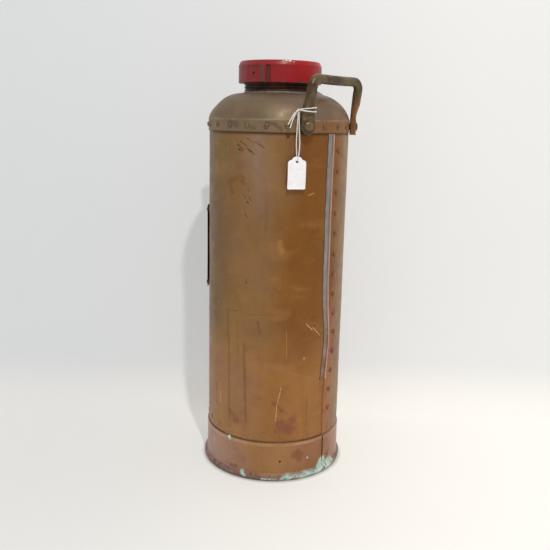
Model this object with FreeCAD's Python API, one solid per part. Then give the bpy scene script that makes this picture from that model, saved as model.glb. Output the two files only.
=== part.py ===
"""Antique turnover (soda-acid) fire extinguisher in riveted copper, hand portable.

Row frame, millimetres: origin on the tank's axis at floor level, +Z up.  The lifting handle is
centred on +Y; the jet and the instruction plate face -Y.  Every function returns the solids of
one sub-part, and the last lines write each of them to parts/NODE.step.
"""
import FreeCAD, Part
import math
import os

os.makedirs("parts", exist_ok=True)

V = FreeCAD.Vector
UP = V(0, 0, 1)

# ---- driving dimensions -------------------------------------------------------------------
SHELL_R = 89.0            # outside radius of the tank
SHEET = 1.5               # tank sheet
SHELL_Z = (30.0, 457.5)   # hidden ends of the tank sheet, inside foot and dome
FIT = 0.05                # radial clearance between sleeved or riveted pieces
SKIN_FIT = 0.1            # gap between pieces that only lie on each other

FOOT_SHEET = 1.25
FOOT_TOP = 52.6
BEAD_R = 4.75             # rolled edge round its wire
BEAD_CENTRE = (SHELL_R + 0.55, 4.7)
WIRE_R = 3.4
FLARE_R = 8.0             # hollow curve from the skirt into the rolled edge
FOOT_SHOULDER = 1.1       # rounding of the skirt's top edge
FOOT_LAP = (1.0, 14.0)    # how far the skirt's lap stands proud, and its lower end
BEAD_GAP = (88.2, 89.6)   # azimuths of the gap between the rolled edge's ends
FOOT_HOLE = (1.4, 44.4, 26.3)        # radius, azimuth, height

SEAM = 92.9               # azimuth of the seam rivets
LAP = (85.4, 100.4)       # azimuths of the lap's visible and hidden edge
LAP_SHEET = 1.2
SEAM_COUNT = 14           # rivets above the bottom ring's one
SEAM_PITCH = 25.83
SEAM_FIRST = 61.6         # height of the bottom ring of rivets
SOLDER_ARC = (80.6, 85.2)
SOLDER_Z = (130.0, 443.6)
SOLDER_THICK = 0.45

RING_SHANK, HANDLE_SHANK, PLATE_SHANK = 2.2, 4.0, 1.5
SEAM_HEAD = (4.0, 1.5)    # rivet heads: radius, height
FOOT_HEAD = (4.0, 1.4)
BAND_HEAD = (3.9, 1.7)
BOTTOM_HEAD = (4.0, 0.8)
HANDLE_HEAD = (6.0, 2.7)
PLATE_HEAD = (2.8, 1.2)
FOOT_RIVET_Z = 22.0

BAND_COUNT = 23
BAND_PITCH = 360.0 / BAND_COUNT
BAND_FIRST = 90.6         # azimuth of the band rivet between the handle's feet
BAND_Z = 451.5

DISH_FLANGE = (50.5, 72.0)           # heights of the bottom head's flange
DISH_CORNER = 9.0
DISH_TOP = (30.0, 88.0)              # radius and height of its flat middle

DOME_SHEET = 1.2
DOME_EDGE = 444.0
DOME_R = SHELL_R + FIT + DOME_SHEET
DOME_ARC_R = 43.11        # the crown's one round stretch
DOME_ARC_CENTRE = (48.68, 447.4)
DOME_SPLIT = 478.0        # height where the shoulder ends and the top ring begins

NECK_R = 44.8
NECK_BORE = 38.0
NECK_TOP = 520.0
NECK_FLANGE = (52.0, 485.5, 489.0)   # radius, underside, top face
COUNTERBORE = (41.5, 3.0)            # radius, depth

CAP_R = 52.5
CAP_Z = (502.8, 529.2)
CAP_CEILING = 523.3
CAP_INNER = NECK_R + 0.3
CAP_CHAMFER = (2.5, 5.3)             # in, down
CAP_PAD = (-10.6, 10.0, 0.7)         # azimuths and depth of a sunk pad
CAP_GROOVE = (19.4, 25.9, 1.6)       # azimuths and depth of a wrench groove
VENT = (-1.3, 513.5, 1.25)           # azimuth, height, radius

HANDLE_HALF = 32.0                   # azimuth of each foot from +Y
HANDLE_SEAT = 90.6                   # radial distance of the feet's flat back
FOOT_THICK = 8.0
FOOT_PAD = (8.8, 450.5)              # radius and centre height of a foot's rounded end
HANDLE_RIVET_Z = 452.0
BAR_Z = 506.3
BAR_Y = 86.0
BAR_R = 5.6
LEG_CORNER_R = 11.0                  # bend from a leg into the bar, on its middle line
LEG_TOP_X = 49.5                     # half the distance between the legs at the top
HANDLE_WASHER = (9.0, 1.5)           # radius, thickness

PLATE_HALF = 41.3                    # half the azimuth the plate spans, about -Y
PLATE_Z = (237.0, 347.0)
PLATE_R = (91.0, 91.8)

JET_Z = 467.0
BOSS_STEPS = [(8.0, 80.0, 90.4), (12.0, 90.4, 93.4), (8.6, 93.4, 97.0)]   # radius, from, to
JET_STEPS = [(5.0 - FIT, 88.0, 97.0), (6.5, 97.0, 104.0)]
BOSS_BORE, JET_BORE = 5.0, 2.5
STRAINER = (7.0, 1.2, 60.0, 80.0)    # radius, wall, from, to
STRAINER_HOLE = 0.9

CAGE_STRAP = (33.0, 34.2, 9.0)       # inner radius, outer radius, width
CAGE_FLOOR = (378.5, 380.0)
CAGE_RING_BORE = 31.5
CAGE_HOOP_Z = (440.0, 446.0)
CAGE_DRAIN_R = 12.0
BOTTLE_R = 30.0
BOTTLE_WALL = 2.5
BOTTLE_Z = (380.1, 500.0)
BOTTLE_NECK = (13.5, 11.0)           # outside and mouth radius
BOTTLE_SHOULDER = (462.0, 484.0)     # heights where the shoulder starts and ends
STOPPER_PLUG = (9.0, 10.0, 8.0)      # bottom radius, top radius, depth
STOPPER_HEAD = (16.0, 12.0, 5.5, 7.9)   # radius, top radius, height of side, height

CARD = (22.0, 38.5, 0.5)             # width, height, thickness
CARD_TOP = 417.3
CARD_CUT = 4.0                       # cut-off corners
CARD_HOLE = (2.0, 5.8)               # radius, distance below the top
STRING_D = 1.3
KNOT = (95.5, 50.9, 470.3)           # radial distance, azimuth, height
KNOT_R = 1.4
TURN_HALF = (9.2, 5.8)               # half width and thickness of the string's turns
TURN_RISE = (-0.9, 1.2)              # height of each turn from the knot
TAILS = [(16.4, -12.6, 2.6), (20.4, -10.4, 3.2)]   # each tip: drop, along, out from the knot


# ---- helpers ------------------------------------------------------------------------------
def radial(azimuth):
    """Unit vector pointing out from the axis."""
    a = math.radians(azimuth)
    return V(math.cos(a), math.sin(a), 0)


def tangent(azimuth):
    """Unit vector along the tank's skin, anticlockwise seen from above."""
    return UP.cross(radial(azimuth))


def at(distance, azimuth, z):
    """Point by radial distance, azimuth and height."""
    return radial(azimuth) * distance + V(0, 0, z)


def ring(r_in, r_out, z0, z1):
    """Straight-sided ring about the axis."""
    outer = Part.makeCylinder(r_out, z1 - z0, V(0, 0, z0))
    return outer.cut(Part.makeCylinder(r_in, z1 - z0, V(0, 0, z0))) if r_in else outer


def sector(r_in, r_out, z0, z1, az0, az1):
    """Part of a ring between two azimuths."""
    profile = Part.makePolygon([V(r_in, 0, z0), V(r_out, 0, z0), V(r_out, 0, z1),
                                V(r_in, 0, z1), V(r_in, 0, z0)])
    solid = Part.Face(profile).revolve(V(0, 0, 0), UP, az1 - az0)
    solid.rotate(V(0, 0, 0), UP, az0)
    return solid


def line(a, b):
    """Edge between two (radius, height) points of a turned outline."""
    return Part.LineSegment(V(a[0], 0, a[1]), V(b[0], 0, b[1])).toShape()


def arc(a, middle, b):
    """Arc through three (radius, height) points of a turned outline."""
    return Part.Arc(V(a[0], 0, a[1]), V(middle[0], 0, middle[1]), V(b[0], 0, b[1])).toShape()


def on_circle(centre, radius, degrees):
    """(radius, height) point on a circle of a turned outline."""
    a = math.radians(degrees)
    return centre[0] + radius * math.cos(a), centre[1] + radius * math.sin(a)


def turned(edges, centre=V(0, 0, 0), axis=UP):
    """Solid of revolution of a closed outline."""
    return Part.Face(Part.Wire(Part.sortEdges(edges)[0])).revolve(centre, axis, 360)


def turned_polygon(points):
    """Solid of revolution of a straight-sided outline given as (radius, height) points."""
    closed = list(points) + [points[0]]
    return turned([line(a, b) for a, b in zip(closed, closed[1:])])


def rod(r, azimuth, z, d0, d1):
    """Cylinder whose axis runs out from the tank's axis."""
    return Part.makeCylinder(r, d1 - d0, at(d0, azimuth, z), radial(azimuth))


def domed_head(r, height, azimuth, z, seat, outward=True):
    """Flat-backed button head: a slice of a ball standing on its seat."""
    ball_r = (r * r + height * height) / (2 * height)
    way = 1 if outward else -1
    centre = at(seat + way * (height - ball_r), azimuth, z)
    half = rod(r + 1, azimuth, z, seat, seat + height + 1) if outward \
        else rod(r + 1, azimuth, z, seat - height - 1, seat)
    return Part.makeSphere(ball_r, centre).common(half)


def rivet(azimuth, z, shank, head, height, inner, outer):
    """Rivet with a head outside and a smaller closed head inside."""
    solid = rod(shank, azimuth, z, inner - 0.3, outer + 0.2)
    solid = solid.fuse(domed_head(head, height, azimuth, z, outer))
    solid = solid.fuse(domed_head(head * 0.9, height * 0.8, azimuth, z, inner, outward=False))
    return solid.removeSplitter()


def drill(solid, places, shank, d0=80.0, d1=110.0):
    """Cut the rivet holes, a little wider than the shanks."""
    for azimuth, z in places:
        solid = solid.cut(rod(shank + FIT, azimuth, z, d0, d1))
    return solid


def tube(points, diameter):
    """Cord: straight runs joined by tangent arcs as large as the runs allow."""
    edges, start, radii = [], points[0], []
    for before, corner, after in zip(points, points[1:], points[2:]):
        leg_in, leg_out = corner - before, after - corner
        turn = leg_in.getAngle(leg_out)
        reach = 0.45 * min(leg_in.Length, leg_out.Length)
        radii.append(reach / math.tan(turn / 2))
        u, w = V(leg_in).normalize(), V(leg_out).normalize()
        p, q = corner - u * reach, corner + w * reach
        inward = V(w - u).normalize()
        middle = corner + inward * (radii[-1] / math.cos(turn / 2) - radii[-1])
        edges += [Part.LineSegment(start, p).toShape(), Part.Arc(p, middle, q).toShape()]
        start = q
    edges.append(Part.LineSegment(start, points[-1]).toShape())
    path = Part.Wire(edges)
    first = V(points[1] - points[0]).normalize()
    section = Part.Wire(Part.makeCircle(diameter / 2, points[0], first))
    solid = path.makePipeShell([section], True, True)
    length = path.Length
    error = solid.Volume / (math.pi * diameter ** 2 / 4 * length) - 1
    print("cord: length %.1f mm, radii %s, volume error %.2f%%"
          % (length, " ".join("%.1f" % r for r in radii), 100 * error))
    return solid


# ---- places that several sub-parts share --------------------------------------------------
def band_places():
    """Ordinary rivets of the dome's band; the handle's rivets take the place of two."""
    places = []
    for k in range(BAND_COUNT):
        azimuth = BAND_FIRST + BAND_PITCH * k
        off_handle = abs((azimuth - 90 + 180) % 360 - 180)
        if abs(off_handle - HANDLE_HALF) > BAND_PITCH / 2:
            places.append((azimuth, BAND_Z))
    return places


def seam_places():
    """Rivets up the lap seam, from the second one to the one under the dome."""
    return [(SEAM, SEAM_FIRST + SEAM_PITCH * k) for k in range(1, SEAM_COUNT + 1)]


def bottom_places():
    """Ring of rivets that holds the bottom head; one of them is the seam's first."""
    return [(SEAM + BAND_PITCH * k, SEAM_FIRST) for k in range(BAND_COUNT)]


FOOT_RIVET = [(SEAM, FOOT_RIVET_Z)]
PLATE_PLACES = [(-90 + side * (PLATE_HALF - 3.5), z)
                for side in (-1, 1) for z in (PLATE_Z[0] + 6, PLATE_Z[1] - 6)]
HANDLE_PLACES = [(90 + side * HANDLE_HALF, HANDLE_RIVET_Z) for side in (-1, 1)]


# ---- tank ---------------------------------------------------------------------------------
def body_shell():
    """Rolled sheet with the second thickness of its lap seam."""
    lap = sector(SHELL_R - 0.2, SHELL_R + LAP_SHEET, FOOT_TOP + 0.3, DOME_EDGE - 0.2, *LAP)
    shell = ring(SHELL_R - SHEET, SHELL_R, *SHELL_Z).fuse(lap).removeSplitter()
    shell = drill(shell, band_places() + seam_places() + bottom_places(), RING_SHANK)
    shell = drill(shell, HANDLE_PLACES, HANDLE_SHANK)
    return drill(shell, PLATE_PLACES, PLATE_SHANK)


def foot_ring():
    """Skirt sleeved over the tank's lower end, flared into a rolled bottom edge."""
    r0, r1 = SHELL_R + FIT, SHELL_R + FIT + FOOT_SHEET
    bead_r, bead_z = BEAD_CENTRE
    flare_x = r1 + FLARE_R
    rise = math.sqrt((FLARE_R + BEAD_R) ** 2 - (flare_x - bead_r) ** 2)
    flare = (flare_x, bead_z + rise)
    touch = math.degrees(math.atan2(rise, flare_x - bead_r))
    round_at = (r1 - FOOT_SHOULDER, FOOT_TOP - FOOT_SHOULDER)
    edges = [
        line((r0, bead_z), (r0, FOOT_TOP)),
        line((r0, FOOT_TOP), (round_at[0], FOOT_TOP)),
        arc((round_at[0], FOOT_TOP), on_circle(round_at, FOOT_SHOULDER, 45), (r1, round_at[1])),
        line((r1, round_at[1]), (r1, flare[1])),
        arc((r1, flare[1]), on_circle(flare, FLARE_R, (180 + 180 + touch) / 2),
            on_circle(BEAD_CENTRE, BEAD_R, touch)),
        line(on_circle(BEAD_CENTRE, BEAD_R, touch), BEAD_CENTRE),
        line(BEAD_CENTRE, (r0, bead_z)),
    ]
    skirt = turned(edges)
    bead = Part.makeTorus(bead_r, BEAD_R, V(0, 0, bead_z))
    lap_thick, lap_low = FOOT_LAP
    lap = sector(r1 - 0.2, r1 + lap_thick, lap_low, FOOT_TOP - 1.2, LAP[0] - 0.4, LAP[1])
    foot = skirt.fuse(bead).fuse(lap).removeSplitter()
    foot = foot.cut(Part.makeTorus(bead_r, WIRE_R + FIT, V(0, 0, bead_z)))
    foot = foot.cut(ring(0, SHELL_R + 20, -5.0, 0.0))
    end_gap = sector(bead_r + 0.5, bead_r + BEAD_R + 1, 0.8, bead_z + BEAD_R, *BEAD_GAP)
    foot = foot.cut(end_gap)
    foot = foot.cut(rod(*FOOT_HOLE, 80, 110))
    return drill(foot, FOOT_RIVET, RING_SHANK)


def foot_bead_wire():
    """Iron wire inside the rolled edge."""
    return Part.makeTorus(BEAD_CENTRE[0], WIRE_R, V(0, 0, BEAD_CENTRE[1]))


def bottom_head():
    """Dished bottom, hollow side down, with a flange riveted inside the tank."""
    r1 = SHELL_R - SHEET - FIT
    flange = DISH_FLANGE
    corner = DISH_CORNER
    dish_r, crown = DISH_TOP

    def outline(radius, knuckle, top):
        """Edges of one skin, from the flange's lower end up to the middle of the dish."""
        turn = (r1 - corner, flange[1])
        shoulder = (turn[0], turn[1] + knuckle)
        rise = top - shoulder[1]
        return [
            line((radius, flange[0]), (radius, flange[1])),
            arc((radius, flange[1]), on_circle(turn, knuckle, 45), shoulder),
            arc(shoulder, ((shoulder[0] + dish_r) / 2, shoulder[1] + 0.72 * rise), (dish_r, top)),
            line((dish_r, top), (0, top)),
        ]

    inside = outline(r1 - DOME_SHEET, corner - DOME_SHEET, crown - DOME_SHEET)
    edges = outline(r1, corner, crown) + [line((0, crown), (0, crown - DOME_SHEET))]
    edges += inside + [line((r1 - DOME_SHEET, flange[0]), (r1, flange[0]))]
    return drill(turned(edges), bottom_places(), RING_SHANK)


def pressed_dome():
    """Whole pressed dome: a band over the tank's top, one round stretch, a hole for the neck."""
    inner_r = DOME_R - DOME_SHEET
    hole = NECK_R + 3 * FIT
    radius_in = DOME_ARC_R - DOME_SHEET
    outer_foot = (DOME_R, dome_height(DOME_ARC_R, DOME_R))
    inner_foot = (inner_r, dome_height(radius_in, inner_r))
    outer_lip = (hole, dome_height(DOME_ARC_R, hole))
    inner_lip = (hole, dome_height(radius_in, hole))
    edges = [
        line((inner_r, DOME_EDGE), (DOME_R, DOME_EDGE)),
        line((DOME_R, DOME_EDGE), outer_foot),
        arc(outer_foot, on_circle(DOME_ARC_CENTRE, DOME_ARC_R, 50), outer_lip),
        line(outer_lip, inner_lip),
        arc(inner_lip, on_circle(DOME_ARC_CENTRE, radius_in, 50), inner_foot),
        line(inner_foot, (inner_r, DOME_EDGE)),
    ]
    solid = drill(turned(edges), band_places(), RING_SHANK)
    solid = drill(solid, HANDLE_PLACES, HANDLE_SHANK)
    return solid.cut(rod(BOSS_STEPS[0][0] + FIT, -90, JET_Z, 70, 110))


def dome_height(radius, r):
    """Height of the dome's round stretch at a distance from the axis."""
    return DOME_ARC_CENTRE[1] + math.sqrt(radius ** 2 - (r - DOME_ARC_CENTRE[0]) ** 2)


def dome_slice(z0, z1):
    """The pressed dome between two heights; slices keep a hair's gap."""
    return pressed_dome().common(ring(0, DOME_R + 5, z0, z1 - FIT))


def dome_band():
    """The dome's straight band, riveted round the tank's top."""
    return dome_slice(DOME_EDGE - 1, dome_height(DOME_ARC_R, DOME_R))


def dome_shoulder():
    """The dome's outer slope, up to where it turns level."""
    return dome_slice(dome_height(DOME_ARC_R, DOME_R), DOME_SPLIT)


def dome_top():
    """The dome's nearly level ring round the neck."""
    return dome_slice(DOME_SPLIT, DOME_ARC_CENTRE[1] + DOME_ARC_R + 1)


def neck_ring():
    """Cast filling neck with a flange under the crown and a seat for the cage."""
    flange_r, low, high = NECK_FLANGE
    seat_r, depth = COUNTERBORE
    return turned_polygon([
        (NECK_BORE, low), (flange_r, low), (flange_r, high), (NECK_R, high),
        (NECK_R, NECK_TOP - 1.0), (NECK_R - 1.0, NECK_TOP), (seat_r, NECK_TOP),
        (seat_r, NECK_TOP - depth), (NECK_BORE, NECK_TOP - depth)])


def neck_solder():
    """Soldered fillet between the crown and the neck."""
    low = DOME_ARC_CENTRE[1] + DOME_ARC_R + SKIN_FIT
    r = NECK_R + SKIN_FIT
    return turned_polygon([(r, low), (r + 3.0, low), (r + 1.6, low + 0.5), (r, low + 1.8)])


def seam_solder():
    """Grey solder wiped along the lap's edge."""
    return sector(SHELL_R + FIT, SHELL_R + FIT + SOLDER_THICK, *SOLDER_Z, *SOLDER_ARC)


def seam_rivets():
    """Rivets up the seam and the one through the foot."""
    seam = [rivet(a, z, RING_SHANK, *SEAM_HEAD, SHELL_R - SHEET - SKIN_FIT, SHELL_R + LAP_SHEET)
            for a, z in seam_places()]
    a, z = FOOT_RIVET[0]
    seat = SHELL_R + FIT + FOOT_SHEET + FOOT_LAP[0]
    seam.append(rivet(a, z, RING_SHANK, *FOOT_HEAD, SHELL_R - SKIN_FIT, seat))
    return Part.makeCompound(seam)


def band_rivets():
    """Rivets of the dome's band."""
    return Part.makeCompound([
        rivet(a, z, RING_SHANK, *BAND_HEAD, SHELL_R - SHEET - SKIN_FIT, DOME_R) for a, z in band_places()])


def bottom_rivets():
    """Low, soldered-over rivets of the bottom head; the seam's own stands on the lap."""
    inner = SHELL_R - SHEET - FIT - DOME_SHEET - SKIN_FIT
    solids = []
    for k, (a, z) in enumerate(bottom_places()):
        outer = SHELL_R + LAP_SHEET if k == 0 else SHELL_R
        head = SEAM_HEAD if k == 0 else BOTTOM_HEAD
        solids.append(rivet(a, z, RING_SHANK, *head, inner, outer))
    return Part.makeCompound(solids)


# ---- handle -------------------------------------------------------------------------------
def handle_section(centre, across, through, half_a, half_b):
    """Elliptical section: half_a along 'across', half_b along 'through'."""
    normal = across.cross(through)
    if half_a >= half_b:
        ellipse = Part.Ellipse(V(0, 0, 0), half_a, half_b)
        x_axis = across
    else:
        ellipse = Part.Ellipse(V(0, 0, 0), half_b, half_a)
        x_axis = through
    y_axis = normal.cross(x_axis)
    wire = Part.Wire(ellipse.toShape())
    matrix = FreeCAD.Matrix(x_axis.x, y_axis.x, normal.x, centre.x,
                            x_axis.y, y_axis.y, normal.y, centre.y,
                            x_axis.z, y_axis.z, normal.z, centre.z, 0, 0, 0, 1)
    wire.Placement = FreeCAD.Placement(matrix)
    return wire


def handle_leg(side):
    """One leg from its foot, through the top corner, to the start of the straight bar."""
    azimuth = 90 - side * HANDLE_HALF
    foot_out = radial(azimuth)
    foot_along = tangent(azimuth) * -side
    out = V(0, 1, 0)
    corner_r, top_x = LEG_CORNER_R, LEG_TOP_X
    seat = HANDLE_SEAT + FOOT_THICK / 2
    stations = [
        # centre, direction across the leg, direction out, half width, half thickness
        (at(seat, azimuth, 453.0), foot_along, foot_out, 8.4, 4.0),
        (at(seat, azimuth, 464.0), foot_along, foot_out, 8.3, 4.0),
        (V(side * 51.0, 82.3, 478.0), V(foot_along * 0.6 + V(side * 0.4, 0, 0)).normalize(),
         V(foot_out * 0.6 + out * 0.4).normalize(), 7.1, 4.5),
        (V(side * 50.2, 84.9, BAR_Z - corner_r), V(side, 0, 0), out, 6.6, 5.0),
    ]
    sections = [handle_section(c, a, V(t - a * a.dot(t)).normalize(), ha, hb)
                for c, a, t, ha, hb in stations]
    centre = V(side * (top_x - corner_r), BAR_Y, BAR_Z - corner_r)
    for turn in (30, 60, 90):
        t = math.radians(turn)
        across = V(side * math.cos(t), 0, math.sin(t))
        point = centre + across * corner_r
        mix = turn / 90.0
        sections.append(handle_section(point, across, out, 6.6 - mix, 5.0 + 0.6 * mix))
    return Part.makeLoft(sections, True, False)


def handle():
    """Forged lifting handle: two feet, two legs and a round bar."""
    corner_x = LEG_TOP_X - LEG_CORNER_R
    bar = Part.makeCylinder(BAR_R, 2 * corner_x, V(-corner_x, BAR_Y, BAR_Z), V(1, 0, 0))
    solid = bar
    pad_r, pad_z = FOOT_PAD
    for side in (-1, 1):
        azimuth = 90 - side * HANDLE_HALF
        pad = rod(pad_r, azimuth, pad_z, HANDLE_SEAT, HANDLE_SEAT + FOOT_THICK)
        solid = solid.fuse(handle_leg(side)).fuse(pad)
    solid = solid.removeSplitter()
    return drill(solid, HANDLE_PLACES, HANDLE_SHANK)


def handle_rivets():
    """Two large rivets that hold the handle."""
    inner = SHELL_R - SHEET - 2.2
    outer = HANDLE_SEAT + FOOT_THICK
    return Part.makeCompound([
        rivet(a, z, HANDLE_SHANK, *HANDLE_HEAD, inner, outer) for a, z in HANDLE_PLACES])


def handle_washers():
    """Backing washers inside the tank, under the rivets' closed heads."""
    outer = SHELL_R - SHEET - 0.6
    radius, thick = HANDLE_WASHER
    washers = []
    for a, z in HANDLE_PLACES:
        disc = rod(radius, a, z, outer - thick, outer)
        washers.append(disc.cut(rod(HANDLE_SHANK + FIT, a, z, 70, 100)))
    return Part.makeCompound(washers)


# ---- plate and jet ------------------------------------------------------------------------
def instruction_plate():
    """Blank curved plate, standing off the tank on four spacers."""
    plate = sector(*PLATE_R, *PLATE_Z, -90 - PLATE_HALF, -90 + PLATE_HALF)
    return drill(plate, PLATE_PLACES, PLATE_SHANK)


def plate_spacers():
    """Washers that hold the plate off the tank."""
    spacers = []
    for a, z in PLATE_PLACES:
        disc = rod(PLATE_HEAD[0] + 0.2, a, z, SHELL_R + 0.02, PLATE_R[0] - SKIN_FIT)
        spacers.append(disc.cut(rod(PLATE_SHANK + FIT, a, z, 80, 100)))
    return Part.makeCompound(spacers)


def plate_rivets():
    """Corner rivets of the plate."""
    return Part.makeCompound([
        rivet(a, z, PLATE_SHANK, *PLATE_HEAD, SHELL_R - SHEET - SKIN_FIT, PLATE_R[1])
        for a, z in PLATE_PLACES])


def jet_body(steps, bore):
    """Stepped body of (radius, from, to) lengths along the jet's axis, with a bore."""
    solid = None
    for r, d0, d1 in steps:
        piece = rod(r, -90, JET_Z, d0, d1)
        solid = piece if solid is None else solid.fuse(piece)
    ends = steps[0][1] - 1, steps[-1][2] + 1
    return solid.removeSplitter().cut(rod(bore, -90, JET_Z, *ends))


def jet_boss():
    """Threaded boss soldered into the crown."""
    return jet_body(BOSS_STEPS, BOSS_BORE)


def jet():
    """Discharge jet screwed into the boss, with a plain spigot for a hose."""
    return jet_body(JET_STEPS, JET_BORE)


def strainer():
    """Perforated cup over the jet's inlet."""
    radius, wall, d0, d1 = STRAINER
    cup = rod(radius, -90, JET_Z, d0, d1).cut(rod(radius - wall + 0.2, -90, JET_Z, d0 + wall, d1))
    for row in range(3):
        for k in range(8):
            a = math.radians(45 * k + 22.5 * (row % 2))
            way = V(math.cos(a), 0, math.sin(a))
            start = at(d0 + 5.0 * (row + 1), -90, JET_Z)
            cup = cup.cut(Part.makeCylinder(STRAINER_HOLE, radius + 2, start, way))
    return cup


# ---- cage, bottle, stopper ----------------------------------------------------------------
def cage_ring():
    """Ring that hangs the cage in the neck's seat."""
    seat_r, depth = COUNTERBORE
    return ring(CAGE_RING_BORE, seat_r - 0.3, NECK_TOP - depth + SKIN_FIT, NECK_TOP - SKIN_FIT)


def cage_straps():
    """Four bent straps from the ring to the cage's floor."""
    r_in, r_out, width = CAGE_STRAP
    half = math.degrees(width / 2 / r_out)
    top = NECK_TOP - COUNTERBORE[1] + SKIN_FIT
    return Part.makeCompound([
        sector(r_in, r_out, CAGE_FLOOR[0], top, a - half, a + half) for a in (45, 135, 225, 315)])


def cage_hoop():
    """Hoop inside the straps that steadies the bottle."""
    return ring(BOTTLE_R + 0.9, CAGE_STRAP[0] - FIT, *CAGE_HOOP_Z)


def cage_base():
    """Floor of the cage, with a drain hole."""
    return ring(CAGE_DRAIN_R, CAGE_STRAP[0] - FIT, *CAGE_FLOOR)


def acid_bottle():
    """Glass bottle with a round shoulder and a wide mouth."""
    low, top = BOTTLE_Z
    neck_r, mouth_r = BOTTLE_NECK
    shoulder_z, neck_z = BOTTLE_SHOULDER
    r_in = BOTTLE_R - BOTTLE_WALL
    middle = ((BOTTLE_R + neck_r) / 2 + 3.0, (shoulder_z + neck_z) / 2 + 2.5)
    middle_in = (middle[0] - 1.7, middle[1] - 1.9)
    edges = [
        line((0, low), (BOTTLE_R, low)),
        line((BOTTLE_R, low), (BOTTLE_R, shoulder_z)),
        arc((BOTTLE_R, shoulder_z), middle, (neck_r, neck_z)),
        line((neck_r, neck_z), (neck_r, top)),
        line((neck_r, top), (mouth_r, top)),
        line((mouth_r, top), (mouth_r, neck_z - 1.0)),
        arc((mouth_r, neck_z - 1.0), middle_in, (r_in, shoulder_z - 1.0)),
        line((r_in, shoulder_z - 1.0), (r_in, low + 3.0)),
        line((r_in, low + 3.0), (0, low + 3.0)),
        line((0, low + 3.0), (0, low)),
    ]
    return turned(edges)


def stopper():
    """Loose lead stopper resting on the bottle's mouth."""
    seat = BOTTLE_Z[1] + SKIN_FIT
    tip_r, plug_r, depth = STOPPER_PLUG
    head_r, top_r, side, height = STOPPER_HEAD
    return turned_polygon([(0, seat - depth), (tip_r, seat - depth), (plug_r, seat), (head_r, seat),
                           (head_r, seat + side), (top_r, seat + height), (0, seat + height)])


# ---- cap ----------------------------------------------------------------------------------
def cap_washer():
    """Leather sealing washer carried in the cap."""
    return ring(NECK_BORE, NECK_R - 0.8, NECK_TOP + SKIN_FIT, CAP_CEILING - 0.2)


def cap():
    """Screw cap with two sunk pads, two wrench grooves and a safety vent."""
    low, top = CAP_Z
    inset, drop = CAP_CHAMFER
    edges = [
        line((CAP_INNER, low), (CAP_R - 0.6, low)),
        line((CAP_R - 0.6, low), (CAP_R, low + 0.6)),
        line((CAP_R, low + 0.6), (CAP_R, top - drop)),
        line((CAP_R, top - drop), (CAP_R - inset, top)),
        line((CAP_R - inset, top), (0, top)),
        line((0, top), (0, CAP_CEILING)),
        line((0, CAP_CEILING), (CAP_INNER, CAP_CEILING)),
        line((CAP_INNER, CAP_CEILING), (CAP_INNER, low)),
    ]
    solid = turned(edges)
    for turn in (0, 180):
        a0, a1, depth = CAP_PAD
        solid = solid.cut(sector(CAP_R - depth, CAP_R + 1, low + 2.2, top - drop - 2.0,
                                 a0 + turn, a1 + turn))
        a0, a1, depth = CAP_GROOVE
        solid = solid.cut(sector(CAP_R - depth, CAP_R + 1, low - 1, top - drop - 1.0,
                                 a0 + turn, a1 + turn))
    azimuth, z, r = VENT
    return solid.cut(rod(r, azimuth, z, NECK_R - 3, CAP_R + 2))


# ---- paper tag and its string -------------------------------------------------------------
def knot_point():
    """Centre of the knot, beside the handle's leg."""
    return at(*KNOT)


def card_frame(along, out, z):
    """Point near the tag: 'along' the card's width, 'out' from its plane, at a height."""
    return at(KNOT[0] + out, KNOT[1], z) + tangent(KNOT[1]) * along


def tag_card():
    """Blank card with cut shoulders and a punched hole."""
    width, height, thick = CARD
    half, low, cut = width / 2, CARD_TOP - height, CARD_CUT
    outline = [(-half, low), (half, low), (half, CARD_TOP - cut), (half - cut, CARD_TOP),
               (cut - half, CARD_TOP), (-half, CARD_TOP - cut), (-half, low)]
    face = Part.Face(Part.makePolygon([card_frame(a, -thick / 2, z) for a, z in outline]))
    solid = face.extrude(radial(KNOT[1]) * thick)
    hole_r, below = CARD_HOLE
    hole = Part.makeCylinder(hole_r, 4.0, card_frame(0, -2.0, CARD_TOP - below), radial(KNOT[1]))
    return solid.cut(hole)


def tag_string():
    """Doubled string from the knot, through the card's hole and back."""
    top = KNOT[2] - KNOT_R - 0.4
    turn_z, low_z = CARD_TOP - 3.2, CARD_TOP - 6.4
    points = [card_frame(0, 0.75, top), card_frame(0, 0.95, top - 19.0), card_frame(0, 1.3, top - 37.0),
              card_frame(0, 1.55, turn_z), card_frame(0, 1.5, low_z), card_frame(0, -1.5, low_z),
              card_frame(0, -1.55, turn_z), card_frame(0, -1.3, top - 37.0),
              card_frame(0, -0.95, top - 19.0), card_frame(0, -0.75, top)]
    return tube(points, STRING_D)


def tag_knot():
    """Knot that joins the string's loop, its turns round the leg and its ends."""
    return Part.makeSphere(KNOT_R, knot_point())


def tag_wrap():
    """Two turns of string round the handle's leg."""
    azimuth = 90 - HANDLE_HALF
    half_w, half_t = TURN_HALF
    turns = []
    for rise in TURN_RISE:
        centre = at(HANDLE_SEAT + FOOT_THICK / 2 + 0.9, azimuth, KNOT[2] + rise)
        band = None
        for grow in (STRING_D / 2, -STRING_D / 2):
            outline = handle_section(centre, tangent(azimuth), radial(azimuth), half_w + grow, half_t + grow)
            prism = Part.Face(outline).extrude(V(0, 0, STRING_D))
            band = prism if band is None else band.cut(prism)
        turns.append(band)
    return Part.makeCompound(turns)


def tag_tails():
    """The two cut ends, hanging from the knot."""
    ends = []
    for drop, along, out in TAILS:
        tip = card_frame(along, out, KNOT[2] - drop)
        start = card_frame(-1.5, 1.2, KNOT[2] - 0.2)
        middle = card_frame(along * 0.5 - 1.4, out * 0.8 + 0.6, KNOT[2] - drop * 0.36)
        ends.append(tube([start, middle, tip], STRING_D))
    return Part.makeCompound(ends)


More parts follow.
